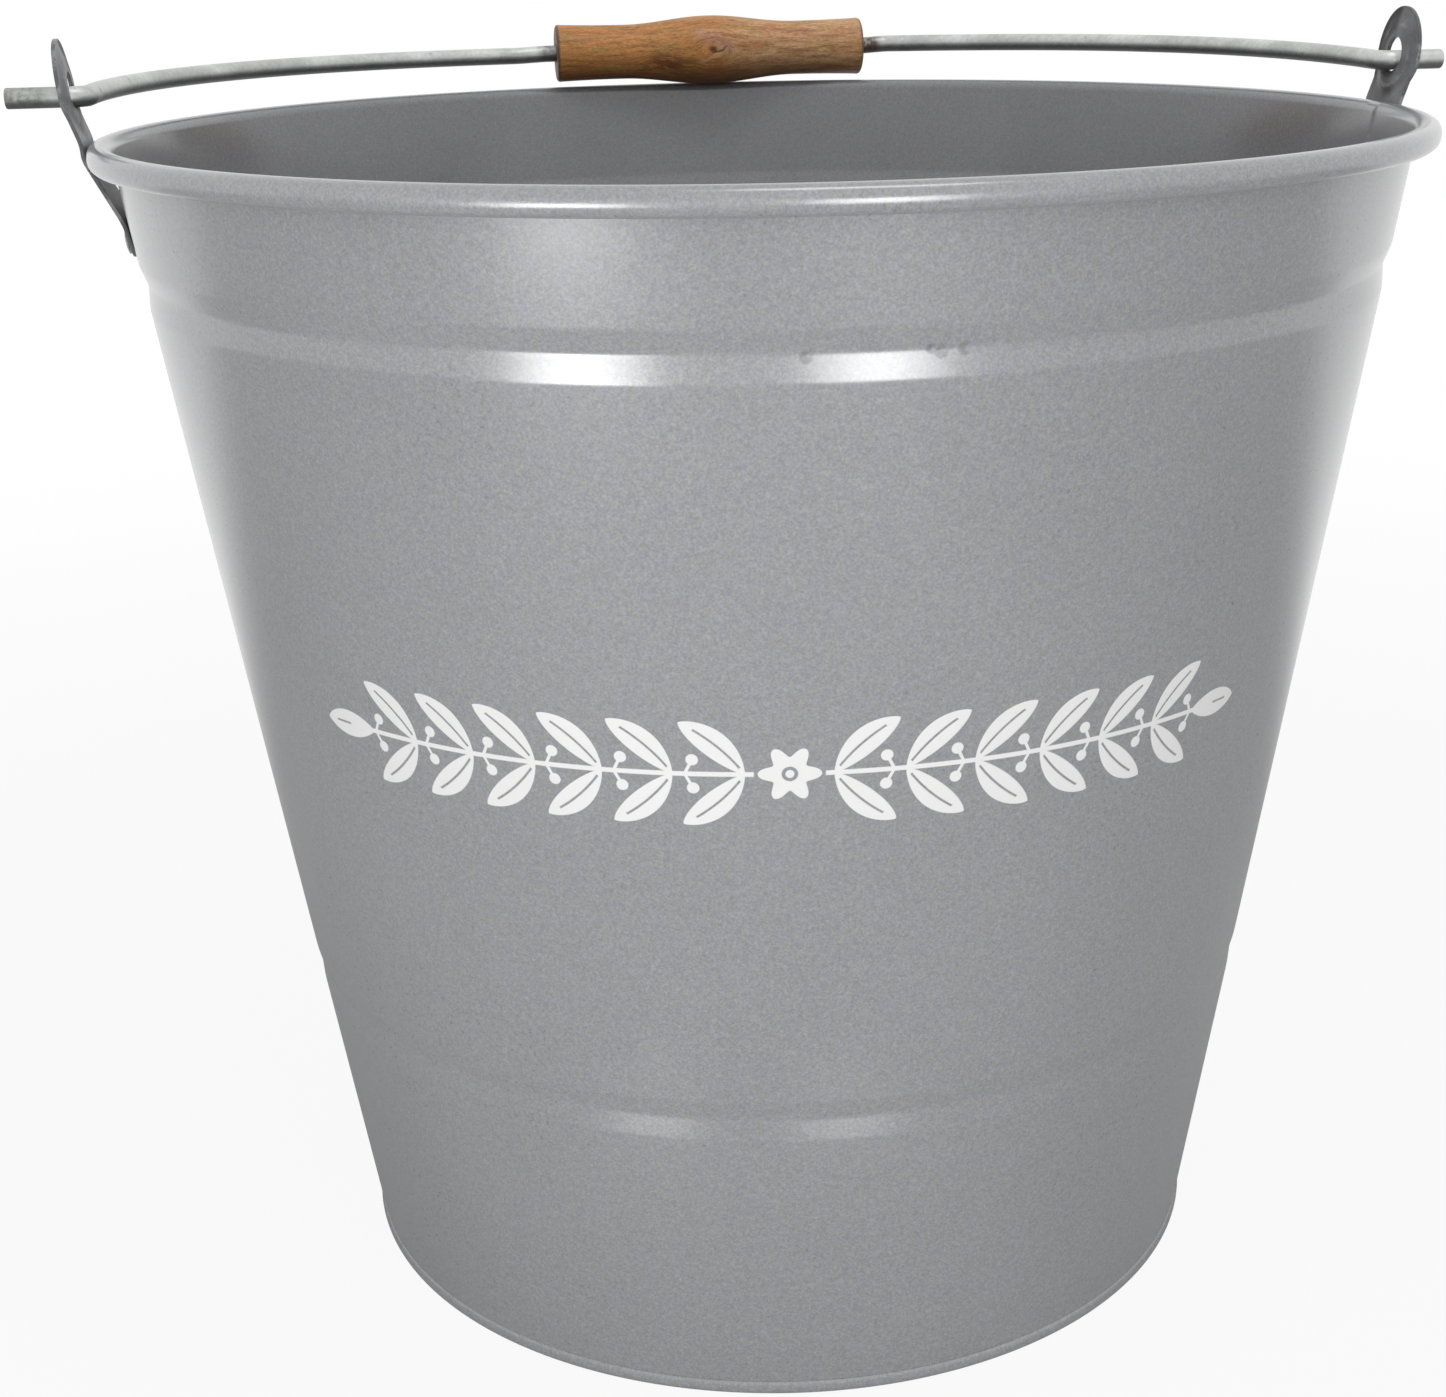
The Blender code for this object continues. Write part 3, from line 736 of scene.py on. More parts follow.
class Surface:
    """A material with its shader and object coordinates at hand."""

    def __init__(self, name, colour, roughness, metallic=0):
        self.material = bpy.data.materials.new(name)
        self.material.use_nodes = True
        self.tree = self.material.node_tree
        self.link = self.tree.links.new
        self.shader = self.tree.nodes["Principled BSDF"]
        fill(self.shader, Base_Color=(*colour, 1), Roughness=roughness, Metallic=metallic)
        self.material.diffuse_color = (*colour, 1)
        coordinates = self.tree.nodes.new("ShaderNodeTexCoord")
        self.place = coordinates.outputs["Object"]
        self.normal = coordinates.outputs["Normal"]
        self.x, self.y, self.z = parts(self.tree, self.place)

    def facing(self):
        """The surface's own direction along the object's three axes."""
        return parts(self.tree, self.normal)

    def joined(self, *values):
        """A vector socket from three values."""
        node = self.tree.nodes.new("ShaderNodeCombineXYZ")
        for value, socket in zip(values, node.inputs):
            self.link(value.socket, socket)
        return node.outputs[0]

    def stretched(self, scale, vector=None):
        node = self.tree.nodes.new("ShaderNodeMapping")
        fill(node, Scale=scale)
        self.link(vector or self.place, node.inputs["Vector"])
        return node.outputs[0]

    def noise(self, scale, detail=2, roughness=0.5, vector=None, distortion=0):
        node = self.tree.nodes.new("ShaderNodeTexNoise")
        fill(node, Scale=scale, Detail=detail, Roughness=roughness, Distortion=distortion)
        self.link(vector or self.place, node.inputs["Vector"])
        return Value(self.tree, node.outputs[0])

    def stretched_noise(self, scale, detail, roughness, vector=None, distortion=0):
        """Noise with a scale of its own along each axis."""
        return self.noise(1, detail, roughness, self.stretched(scale, vector), distortion)

    def mix(self, share, one, other):
        """Colour one where share is 0, other where it is 1. Either may be a colour or a socket."""
        node = self.tree.nodes.new("ShaderNodeMix")
        node.data_type = "RGBA"
        self.link(share.socket, node.inputs["Factor"])
        for name, colour in (("A_Color", one), ("B_Color", other)):
            socket = next(item for item in node.inputs if item.identifier == name)
            if isinstance(colour, tuple):
                socket.default_value = (*colour, 1)
            else:
                self.link(colour, socket)
        return next(item for item in node.outputs if item.identifier == "Result_Color")

    def marked(self, colour, marks):
        """A colour with marks over it, each a share and the colour that it mixes in."""
        for share, mark in marks:
            colour = self.mix(share, colour, mark)
        return colour

    def shade(self, colour, value):
        """A colour socket scaled by a value."""
        node = self.tree.nodes.new("ShaderNodeVectorMath")
        node.operation = "SCALE"
        self.link(colour, node.inputs[0])
        self.link(value.socket, node.inputs["Scale"])
        return node.outputs[0]

    def connect(self, colour, roughness):
        self.link(colour, self.shader.inputs["Base Color"])
        self.link(roughness.socket, self.shader.inputs["Roughness"])

    def bump(self, height, depth, strength=1):
        node = self.tree.nodes.new("ShaderNodeBump")
        fill(node, Distance=depth, Strength=strength)
        self.link(height.socket, node.inputs["Height"])
        previous = self.shader.inputs["Normal"].links
        if previous:
            self.link(previous[0].from_socket, node.inputs["Normal"])
        self.link(node.outputs[0], self.shader.inputs["Normal"])


# Noise scales are counts per metre. Pairs and triples of lengths are what step, fall or band take. A
# ragged value says how far a noise shifts a mark's edge.

# Paint on the body, base and rivets
PAINT = (0.294, 0.297, 0.310)
PAINT_COOL = (0.98, 0.99, 1.03)
PAINT_WARM = (1.02, 1.01, 0.97)
PAINT_ROUGHNESS = 0.30
FINE_SCALE = 1900
FINE_SHARE = 0.72
FINE_HEIGHT = 0.00003
GRAIN_SCALE = 900
GRAIN_SHARE = 0.42
GRAIN_HEIGHT = 0.00006
TINT_SCALE = 700
CLOUD_SCALE = 26
CLOUD_SHARE = 0.10
DARKEST_SPECK = 0.84
# Painted shade inside the bucket: the share of the colour kept and how much it varies
INSIDE_SHADE_SHARE = 0.79
INSIDE_SHADE_CLOUD = 0.2
PRINT = (0.86, 0.86, 0.86)
PRINT_WARM = (0.83, 0.83, 0.82)
PRINT_HEIGHT = 0.00004
DENT_DEPTH = 0.0006

# Knocks in the upper groove's crease: azimuth in degrees, drop below the groove's middle, radius
DENTS = (
    (-96.3, 0.0008, 0.0015),
    (-87.1, 0.0002, 0.0012),
    (-86.3, 0.0007, 0.0017),
    (-84.6, 0.0005, 0.0015),
)

# Paint on the ears, with painted shade on the back of the head, the wire's painted shadow below the hole and
# a pale ring of painted highlight round it
EAR_PAINT = (0.140, 0.142, 0.150)
EAR_PAINT_PALE = (0.250, 0.253, 0.266)
EAR_WEAR_AND_SHEEN = (0.42, 0.42, 0.43)
EAR_GRIME_AND_SHADE = (0.030, 0.030, 0.032)
EAR_ROUGHNESS = 0.36
EAR_GRAIN_SCALE = 650
EAR_PATCH_SCALE = 190
EAR_WORN_EDGE = 0.0009
EAR_WORN_SIDE = 0.0007
EAR_WORN_HEAD = (-0.004, 0)
EAR_WORN_NECK = (-0.008, -0.004)
# Painted shade over the back of the head: across, out from the hole and up
EAR_BACK_SHADE = (-0.0010, 0.0025)
EAR_BACK_SHADE_ROUND = (0.0048, 0.0072)
EAR_BACK_SHADE_UP = (-0.006, 0.001)
# Painted shadow of the wire below the hole: its middle, its reach and how ragged its edge is
WIRE_SHADOW_PLACE = (0.0008, -0.0072)
WIRE_SHADOW_SIZE = (0.0015, 0.0062)
WIRE_SHADOW_RAGGED = 0.004
# Painted highlight ring on the dish round the hole: its radius, core and reach, and how ragged it is
SHEEN_RING = (0.0074, 0.0002, 0.0008)
SHEEN_RING_RAGGED = 0.0016

# Zinc on the wires
ZINC = (0.54, 0.555, 0.54)
ZINC_PALE = (0.72, 0.735, 0.72)
# Dark zinc for the stub, scuffs and grime, and for the painted shade on the wire's underside
ZINC_DARK = (0.075, 0.077, 0.075)
ZINC_ROUGHNESS = 0.46
ZINC_METALLIC = 0.4
MOTTLE_SCALE = 700
ZINC_PATCH_SCALE = 60
DRAWN_STRETCH = (0.6, 14, 14)
SCUFF_SCALE = 150
STUB = (0.1655, 0.1715)
RUST = (0.085, 0.050, 0.036)
RUST_SCALE = 600
RUST_PAST_GRIP = 0.0025
RUST_REACH = (0.0018, 0.0052)
GRIME_PAST_GRIP = 0.0020
GRIME_REACH = (0.0010, 0.0050)

# Wood of the grip
WOOD_ORANGE = (0.68, 0.305, 0.092)
WOOD_TAN = (0.76, 0.45, 0.24)
WOOD_PINK = (0.66, 0.37, 0.27)
WOOD_PALE = (0.72, 0.43, 0.22)
WOOD_OLIVE = (0.47, 0.31, 0.085)
WOOD_RED = (0.52, 0.20, 0.085)
WOOD_MID = (0.50, 0.215, 0.072)
WOOD_DARK = (0.20, 0.070, 0.024)
WOOD_PORE = (0.075, 0.028, 0.012)
WOOD_UNDERSIDE_SHADE = (0.085, 0.026, 0.008)
WOOD_EDGE = (0.050, 0.040, 0.034)
WOOD_ROUGHNESS = 0.50
WOOD_WIDE_SCALE = (24, 240, 240)
WOOD_GRAIN_SCALE = (90, 1100, 1100)
WOOD_PORE_SCALE = (330, 2600, 2600)
WOOD_SPECK_SCALE = (900, 2300, 2300)
WOOD_OLIVE_SCALE = (150, 330, 330)
WOOD_RED_SCALE = (130, 420, 420)
WOOD_WANDER_SCALE = 110
WOOD_GRAIN_HEIGHT = 0.00012
WOOD_PORE_HEIGHT = 0.00008
CRACK_DEPTH = 0.0003
KNOT_HEIGHT = 0.0006
KNOT_REACH = (0.0005, 0.0085)
KNOT_BEND = 0.72
KNOT_RAGGED = 0.0050
KNOT_RINGS = 2600
KNOT_LENGTHWISE = 0.6
SWIRL_PLACE = (-0.0130, -0.0030)
SWIRL_SIZE = (0.0105, 0.0040)
SWIRL_FADE = (0.2, 1.1)
SWIRL_RAGGED = 0.0075
WOOD_RAGGED = 0.0010
CRACK_SLOPE = 0.36
CRACK_RISE = 0.0014
CRACK_WIDTH = (0.0001, 0.0005)
CRACK_ALONG = (0.0020, 0.0010, 0.0030)
PALE_ACROSS = (-0.0010, 0.0003, 0.0009)
PALE_ALONG = (-0.0006, 0.0020, 0.0052)
TAN_END = (-0.004, 0.016)
TAN_RAGGED = 0.02
FLUSH_SLOPE = 0.55
FLUSH_ACROSS = (0.0037, 0.0002, 0.0042)
UNDERSIDE_SHADE_DROP = (0.0015, 0.0088)
UNDERSIDE_SHADE_RAGGED = 0.003
WOOD_FRONT = (0, 0.004)

# White border of leaves and berries, in metres along the wall
BORDER_AZIMUTH = math.radians(-97.7)
BORDER_HEIGHT = 0.1675
BORDER_RADIUS = 0.1367
LEAF_PITCH = 0.0150
LEAF_START = 0.0092
LEAF_PAIRS = 6
LEAF_LENGTH = 0.0178
LEAF_HALF_WIDTH = 0.0030
LEAF_ANGLE = math.radians(42)
LEAF_BOW = 0.0011
LEAF_LEAD = 0.0012
LEAF_BASE_POWER = 0.85
LEAF_TIP_POWER = 0.75
STEM_HALF = 0.00055
RIB_HALF = 0.00026
LEAF_RIB = (0.10, 0.82)
BERRY_RADIUS = 0.0013
BERRY_ALONG = 0.0108
BERRY_OUT = 0.0033
STALK_SHARE = 0.7
STALK_LEAN = 0.5
TIP_START = 0.0972
TIP_LENGTH = 0.0160
TIP_HALF_WIDTH = 0.0032
TIP_RIB = (0.12, 0.8)
FLOWER_RADIUS = 0.0066
FLOWER_HOLE = 0.0017
FLOWER_CLEAR = 1.12
FLOWER_SEED = 0.55
PETALS = 6
PETAL_DEPTH = 0.2
PRINT_EDGE = 0.00012


def leaf(along, out, length, half_width):
    """How far inside a pointed leaf a point is, and its share along the leaf."""
    base, tip = LEAF_BASE_POWER, LEAF_TIP_POWER
    widest = base / (base + tip)
    full = widest**base * (1 - widest) ** tip
    share = (along / length).max(0).min(1)
    width = share.apply("POWER", base) * (1 - share).apply("POWER", tip) * (half_width / full)
    return (width - out.abs()).min(along).min(length - along), share


def leaf_pairs(m, w):
    """How far inside the pairs of leaves and berries a point is."""
    first = LEAF_START - LEAF_LEAD
    cell = (m - first).apply("FLOORED_MODULO", LEAF_PITCH) - LEAF_LEAD
    c, n = math.cos(LEAF_ANGLE), math.sin(LEAF_ANGLE)
    along = cell * c + w * n
    out = w * c - cell * n
    share = along / LEAF_LENGTH
    out = out - share * (1 - share) * (4 * LEAF_BOW)
    inside, share = leaf(along, out, LEAF_LENGTH, LEAF_HALF_WIDTH)
    rib = (share - LEAF_RIB[0]).min(LEAF_RIB[1] - share) * LEAF_LENGTH
    rib = rib.min(RIB_HALF - out.abs())
    berry_x = cell - BERRY_ALONG
    berry_y = w - BERRY_OUT
    berry = BERRY_RADIUS - span(berry_x, berry_y)
    stalk = (STEM_HALF * STALK_SHARE - (berry_x + berry_y * STALK_LEAN).abs()).min(BERRY_OUT - w)
    rows = (m - first).min(first + LEAF_PAIRS * LEAF_PITCH - m)
    return inside.min(-rib).max(berry).max(stalk).min(rows)


def border_tip(m, w):
    """How far inside the leaf at the stem's end a point is."""
    inside, _ = leaf(m - TIP_START, w, TIP_LENGTH, TIP_HALF_WIDTH)
    first, last = (TIP_START + TIP_LENGTH * share for share in TIP_RIB)
    rib = (RIB_HALF - w).min(m - first).min(last - m)
    return inside.min(-rib)


def leaf_border(s):
    """Share of the white print: a flower, and a stem with leaves and berries to both sides."""
    azimuth = s.y.apply("ARCTAN2", s.x)
    m = ((azimuth - BORDER_AZIMUTH) * BORDER_RADIUS).abs()
    w = ((s.z - BORDER_HEIGHT) / math.cos(TAPER)).abs()
    from_middle = span(m, w)
    turn = w.apply("ARCTAN2", m + 1e-6)
    petals = (turn * PETALS).apply("COSINE") * PETAL_DEPTH + (1 - PETAL_DEPTH)
    flower = (petals * FLOWER_RADIUS - from_middle).min(from_middle - FLOWER_HOLE)
    seed = FLOWER_HOLE * FLOWER_SEED - from_middle
    stem = (STEM_HALF - w).min(TIP_START + TIP_LENGTH / 2 - m)
    stem = stem.min(from_middle - FLOWER_RADIUS * FLOWER_CLEAR)
    drawing = leaf_pairs(m, w).max(stem).max(border_tip(m, w)).max(flower).max(seed)
    return drawing.step(-PRINT_EDGE, PRINT_EDGE)


def dents(s):
    """Small knocks in the crease of the upper groove, near the front."""
    azimuth = s.y.apply("ARCTAN2", s.x)
    depth = None
    for degrees, drop, radius in DENTS:
        across = (azimuth - math.radians(degrees)) * BORDER_RADIUS
        pit = span(across, s.z - (UPPER_GROOVE[0] - drop)).fall(0, radius)
        depth = pit if depth is None else depth.max(pit)
    return depth


def painted(name, printed=False):
    """Finely speckled satin paint with a clear gloss over it; printed, it is also darkened inside the bucket
    as painted shade.
    """
    s = Surface(name, PAINT, PAINT_ROUGHNESS)
    fine = s.noise(FINE_SCALE, 1, 0.7)
    grain = s.noise(GRAIN_SCALE, 2, 0.6)
    cloud = s.noise(CLOUD_SCALE, 3)
    level = fine.swing(FINE_SHARE) + grain.swing(GRAIN_SHARE) + cloud.swing(CLOUD_SHARE) + 1
    cool, warm = (tuple(v * k for v, k in zip(PAINT, tint)) for tint in (PAINT_COOL, PAINT_WARM))
    tinted = s.mix(s.noise(TINT_SCALE, 2).step(0.35, 0.65), cool, warm)
    coat = s.shade(tinted, level.max(DARKEST_SPECK))
    rough = grain.swing(0.10) + cloud.swing(0.06) + PAINT_ROUGHNESS
    if printed:
        # Painted shade: paint that faces in towards the axis, inside the bucket, is darkened
        facing_x, facing_y, _ = s.facing()
        inward = -(s.x * facing_x + s.y * facing_y)
        inside = s.shade(coat, cloud.swing(INSIDE_SHADE_CLOUD) + INSIDE_SHADE_SHARE)
        coat = s.mix(inward.step(0, 0.04), coat, inside)
        mask = leaf_border(s)
        white = s.shade(s.mix(cloud, PRINT, PRINT_WARM), fine.swing(0.03) + 1)
        coat = s.mix(mask, coat, white)
        rough = rough + mask * 0.06
        s.bump(mask, PRINT_HEIGHT, 0.6)
        s.bump(-dents(s), DENT_DEPTH)
    s.connect(coat, rough)
    s.bump(grain, GRAIN_HEIGHT, 0.3)
    s.bump(fine, FINE_HEIGHT, 0.25)
    fill(s.shader, Coat_Weight=0.7, Coat_Roughness=0.15, Coat_IOR=1.5, Specular_IOR_Level=0.6)
    return s.material


def ear_edges(s, up, from_hole):
    """1 on the rims of an ear's head and hole and on its neck's sides."""
    outer = from_hole.step(EAR_HEAD_RADIUS - EAR_WORN_EDGE, EAR_HEAD_RADIUS - 0.0001)
    outer *= up.step(*EAR_WORN_HEAD)
    inner = from_hole.fall(EAR_HOLE_RADIUS, EAR_HOLE_RADIUS + EAR_WORN_EDGE)
    half = EAR_NECK_WIDTH / 2
    sides = s.y.abs().step(half - EAR_WORN_SIDE, half) * up.fall(*EAR_WORN_NECK)
    return outer.max(inner).max(sides)


def ear_finish(name):
    """Dark grey paint: darker and worn at its edges, painted shade on the back of the head, a painted shadow
    of the wire below the hole and a painted highlight ring round it.
    """
    s = Surface(name, EAR_PAINT, EAR_ROUGHNESS)
    up = s.z - ear_hole_height()
    from_hole = span(s.y, up)
    grain = s.noise(EAR_GRAIN_SCALE, 3, 0.6)
    patch = s.noise(EAR_PATCH_SCALE, 3, 0.65)
    edge = ear_edges(s, up, from_hole)
    # Painted shade: the back of the head's dish is darkened
    back = s.y.step(*EAR_BACK_SHADE) * from_hole.step(*EAR_BACK_SHADE_ROUND) * up.step(*EAR_BACK_SHADE_UP)
    # Painted shadow: a dark patch on the ear below the wire's hole
    low = span(s.y - WIRE_SHADOW_PLACE[0], up - WIRE_SHADOW_PLACE[1])
    wire_shadow = (low + patch.swing(WIRE_SHADOW_RAGGED)).fall(*WIRE_SHADOW_SIZE)
    # Painted highlight: a pale, patchy ring on the dish round the hole
    ring = (from_hole - patch.swing(SHEEN_RING_RAGGED)).band(*SHEEN_RING)
    worn = edge * patch.step(0.52, 0.62)
    coat = s.shade(s.mix(patch, EAR_PAINT, EAR_PAINT_PALE), grain.swing(0.45) + patch.swing(0.5) + 1)
    # Marks: darker edges, painted shade on the back of the head, the wire's painted shadow, the painted
    # highlight ring and worn edges
    coat = s.marked(coat, (
        (edge * 0.35, EAR_GRIME_AND_SHADE),
        (back * 0.88, EAR_GRIME_AND_SHADE),
        (wire_shadow * 0.85, EAR_GRIME_AND_SHADE),
        (ring * patch.step(0.45, 0.60) * 0.45, EAR_WEAR_AND_SHEEN),
        (worn * 0.45, EAR_WEAR_AND_SHEEN),
    ))
    s.connect(coat, grain.swing(0.2) - worn * 0.08 + back * 0.2 + EAR_ROUGHNESS)
    s.bump(patch, 0.00012, 0.5)
    s.bump(grain, 0.00005, 0.4)
    fill(s.shader, Specular_IOR_Level=0.25)
    return s.material


def galvanised(name, rust=False):
    """Dull zinc on drawn wire: lengthwise streaks, painted shade on the underside, rust where the grip
    works.
    """
    s = Surface(name, ZINC, ZINC_ROUGHNESS, ZINC_METALLIC)
    mottle = s.noise(MOTTLE_SCALE, 4, 0.65)
    patch = s.noise(ZINC_PATCH_SCALE, 3, 0.6)
    drawn = s.noise(ZINC_PATCH_SCALE, 3, 0.6, s.stretched(DRAWN_STRETCH))
    # Painted shade: the wire is darkened where it faces down
    shaded_underside = (mottle.swing(0.5) - s.facing()[2]).step(-0.20, 0.55)
    stub = (-s.x).step(*STUB)
    scuffs = s.noise(SCUFF_SCALE, 4, 0.7).step(0.60, 0.72)
    metal = s.mix(patch.step(0.35, 0.65), ZINC, ZINC_PALE)
    metal = s.shade(metal, mottle.swing(0.55) + drawn.swing(0.35) + 1)
    marks = [
        (shaded_underside * 0.85, ZINC_DARK),
        (stub * (mottle.step(0.3, 0.7) * 0.4 + 0.35), ZINC_DARK),
        (scuffs * 0.4, ZINC_DARK),
    ]
    if rust:
        spots = s.noise(RUST_SCALE, 3).step(0.35, 0.6)
        right = s.x.band(GRIP_OFFSET + GRIP_LENGTH / 2 + RUST_PAST_GRIP, *RUST_REACH)
        left = s.x.band(GRIP_OFFSET - GRIP_LENGTH / 2 - GRIME_PAST_GRIP, *GRIME_REACH)
        marks += [(right * (spots * 0.45 + 0.5), RUST), (left * (spots * 0.4 + 0.24), ZINC_DARK)]
    s.connect(s.marked(metal, marks), mottle.swing(0.2) + scuffs * 0.10 + ZINC_ROUGHNESS)
    s.bump(mottle, 0.00005, 0.35)
    return s.material


def turned_wood(name):
    """Turned hardwood: grain that bends round a knot, tan at one end, dark at its ends' edges, with painted
    shade on its underside.
    """
    s = Surface(name, WOOD_MID, WOOD_ROUGHNESS)
    x = s.x - GRIP_OFFSET
    y = s.y - REACH
    z = s.z - (pivot_height() + grip_height())
    front = (-y).step(*WOOD_FRONT)
    from_knot = span(x * math.sqrt(KNOT_LENGTHWISE), z - KNOT_HEIGHT)
    bend = from_knot.fall(*KNOT_REACH) * front
    swirl_x = (x - SWIRL_PLACE[0]) / SWIRL_SIZE[0]
    swirl_z = (z - SWIRL_PLACE[1]) / SWIRL_SIZE[1]
    swirl = span(swirl_x, swirl_z).fall(*SWIRL_FADE) * front
    ragged = swirl * SWIRL_RAGGED + bend * KNOT_RAGGED + WOOD_RAGGED
    wander = s.noise(WOOD_WANDER_SCALE, 3, 0.6).swing(ragged)
    grain_place = s.joined(x, y, (z - KNOT_HEIGHT) * (1 - bend * KNOT_BEND) + wander)
    wide = s.stretched_noise(WOOD_WIDE_SCALE, 3, 0.6, grain_place)
    grain = s.stretched_noise(WOOD_GRAIN_SCALE, 4, 0.7, grain_place, 0.3)
    pores = s.stretched_noise(WOOD_PORE_SCALE, 3, 0.7, grain_place)
    speck = s.stretched_noise(WOOD_SPECK_SCALE, 3, 0.7)
    olive = s.stretched_noise(WOOD_OLIVE_SCALE, 3, 0.6)
    red = s.stretched_noise(WOOD_RED_SCALE, 3, 0.6)
    tan = (x + wide.swing(TAN_RAGGED)).step(*TAN_END)
    flush = (x * FLUSH_SLOPE + z).band(*FLUSH_ACROSS) * bend.step(0, 0.3)
    rings = (from_knot * KNOT_RINGS + wander * 900).apply("SINE").step(-0.3, 0.9)
    line = z - KNOT_HEIGHT - x * CRACK_SLOPE + CRACK_RISE + wander * 1.2
    pale = line.band(*PALE_ACROSS) * x.band(*PALE_ALONG)
    crack = line.abs().fall(*CRACK_WIDTH) * x.band(*CRACK_ALONG) * front
    # Painted shade: the grip's underside is darkened
    shaded_underside = (wide.swing(UNDERSIDE_SHADE_RAGGED) - z).step(*UNDERSIDE_SHADE_DROP)
    edge = x.abs().step(GRIP_LENGTH / 2 - 0.0011, GRIP_LENGTH / 2 - 0.0003)
    base = s.marked(s.mix(tan, WOOD_ORANGE, WOOD_TAN), (
        (wide.step(0.35, 0.70) * 0.60, WOOD_MID),
        (olive.step(0.47, 0.66) * 0.55, WOOD_OLIVE),
        (red.step(0.50, 0.68) * 0.55, WOOD_RED),
        (flush * 0.5, WOOD_PINK),
        (grain.step(0.42, 0.70) * 0.64, WOOD_DARK),
        (swirl * grain.step(0.34, 0.54) * 0.85, WOOD_DARK),
        (pores.step(0.54, 0.72) * 0.55, WOOD_PORE),
    ))
    base = s.shade(base, speck.swing(1.3) + 1)
    base = s.marked(base, (
        (rings * from_knot.fall(0.0008, 0.0042) * front * 0.6, WOOD_DARK),
        (from_knot.fall(0.0003, 0.0010) * front * 0.9, WOOD_PORE),
        (pale * front * 0.6, WOOD_PALE),
        (crack * 0.6, WOOD_PORE),
        (shaded_underside * 0.70, WOOD_UNDERSIDE_SHADE),
        (edge * 0.8, WOOD_EDGE),
    ))
    s.connect(base, grain.swing(0.2) + WOOD_ROUGHNESS)
    s.bump(grain, WOOD_GRAIN_HEIGHT, 0.6)
    s.bump(pores, WOOD_PORE_HEIGHT, 0.5)
    s.bump(-crack, CRACK_DEPTH, 0.8)
    fill(s.shader, Specular_IOR_Level=0.35)
    return s.material


# Studio. A lamp's azimuth is in degrees from the camera's side, right of it above 0.

WORLD_FILL = 0.60

# Beside the camera: name, azimuth, distance, height, width, tallness, gleam, light
SIDE_PANELS = (
    ("left_panel", -28, 0.60, 0.165, 0.245, 0.13, 24, 8.5),
    ("right_panel", 17, 0.70, 0.20, 0.28, 0.185, 18, 7),
)
# On the table: name, azimuth, azimuth of the spot it faces, distance, width
LOW_PANELS = (
    ("left_low_panel", -24.2, -20, 0.2155, 0.083),
    ("right_low_panel", 14.4, 12.7, 0.2165, 0.15),
)
# Overhead: place, width, depth, light
TOP_PANEL = ((0.22, -0.42, 1.7), 0.7, 0.4, 6)
SHINE_SPREAD = math.radians(30)
SHINE_HEIGHT = 0.265
LOW_SHINE_HEIGHT = 0.010
LOW_SHINE_TARGET = 0.063
LOW_SHINE_TALL = 0.016
LOW_SHINE = 6.4

# Floor: its colour, its white near by, and the distances over which it turns white: when seen, and
# when mirrored, behind the bucket and all round
FLOOR_HALF = 6.0
FLOOR_COLOUR = (0.50, 0.50, 0.50)
FLOOR_WHITE = 0.92
SEEN_WHITE = (0.35, 1.1)
MIRRORED_BEHIND = (0.18, 0.50)
MIRRORED_AROUND = (0.8, 2.2)


def around(azimuth, distance, height):
    """A place about the bucket."""
    turn = CAMERA_TURN + math.radians(azimuth - 90)
    return Vector((distance * math.cos(turn), distance * math.sin(turn), height))


def rays(tree, *kinds):
    """1 on rays of the kinds named, 0 on others."""
    path = tree.nodes.new("ShaderNodeLightPath")
    found = None
    for kind in kinds:
        value = Value(tree, path.outputs[f"Is {kind} Ray"])
        found = value if found is None else found.max(value)
    return found


def show(tree, output, share, one, other):
    """Output shader one where share is 0 and other where it is 1."""
    mix = tree.nodes.new("ShaderNodeMixShader")
    for socket, source in zip(mix.inputs, (share.socket, one.outputs[0], other.outputs[0])):
        tree.links.new(source, socket)
    tree.links.new(mix.outputs[0], tree.nodes.new(output).inputs["Surface"])


def make_floor():
    """A pale table top that shows white to the camera, and lit as it is in near mirrored rays."""
    corners = [(x * FLOOR_HALF, y * FLOOR_HALF, 0) for x, y in ((-1, -1), (1, -1), (1, 1), (-1, 1))]
    floor = new_object("floor", corners, [(0, 1, 2, 3)])
    material = bpy.data.materials.new("floor")
    material.use_nodes = True
    tree = material.node_tree
    tree.nodes.clear()
    x, y, _ = parts(tree, tree.nodes.new("ShaderNodeTexCoord").outputs["Object"])
    away = span(x, y)
    front = around(0, 1, 0)
    behind = -(x * front.x + y * front.y)
    seen = rays(tree, "Camera") * (away.step(*SEEN_WHITE) * (1 - FLOOR_WHITE) + FLOOR_WHITE)
    pale = behind.step(*MIRRORED_BEHIND).max(away.step(*MIRRORED_AROUND))
    mirrored = rays(tree, "Glossy", "Transmission") * pale
    diffuse = tree.nodes.new("ShaderNodeBsdfDiffuse")
    fill(diffuse, Color=(*FLOOR_COLOUR, 1))
    show(tree, "ShaderNodeOutputMaterial", seen.max(mirrored), diffuse, tree.nodes.new("ShaderNodeEmission"))
    floor.data.materials.append(material)


def make_world():
    """A white surround to see and to mirror, with less light on the bucket."""
    world = bpy.data.worlds.new("studio")
    bpy.context.scene.world = world
    world.use_nodes = True
    tree = world.node_tree
    tree.nodes.clear()
    light, seen = (tree.nodes.new("ShaderNodeBackground") for _ in range(2))
    for node, strength in ((light, WORLD_FILL), (seen, 1)):
        fill(node, Color=(1, 1, 1, 1), Strength=strength)
    show(tree, "ShaderNodeOutputWorld", rays(tree, "Camera", "Glossy", "Transmission"), light, seen)


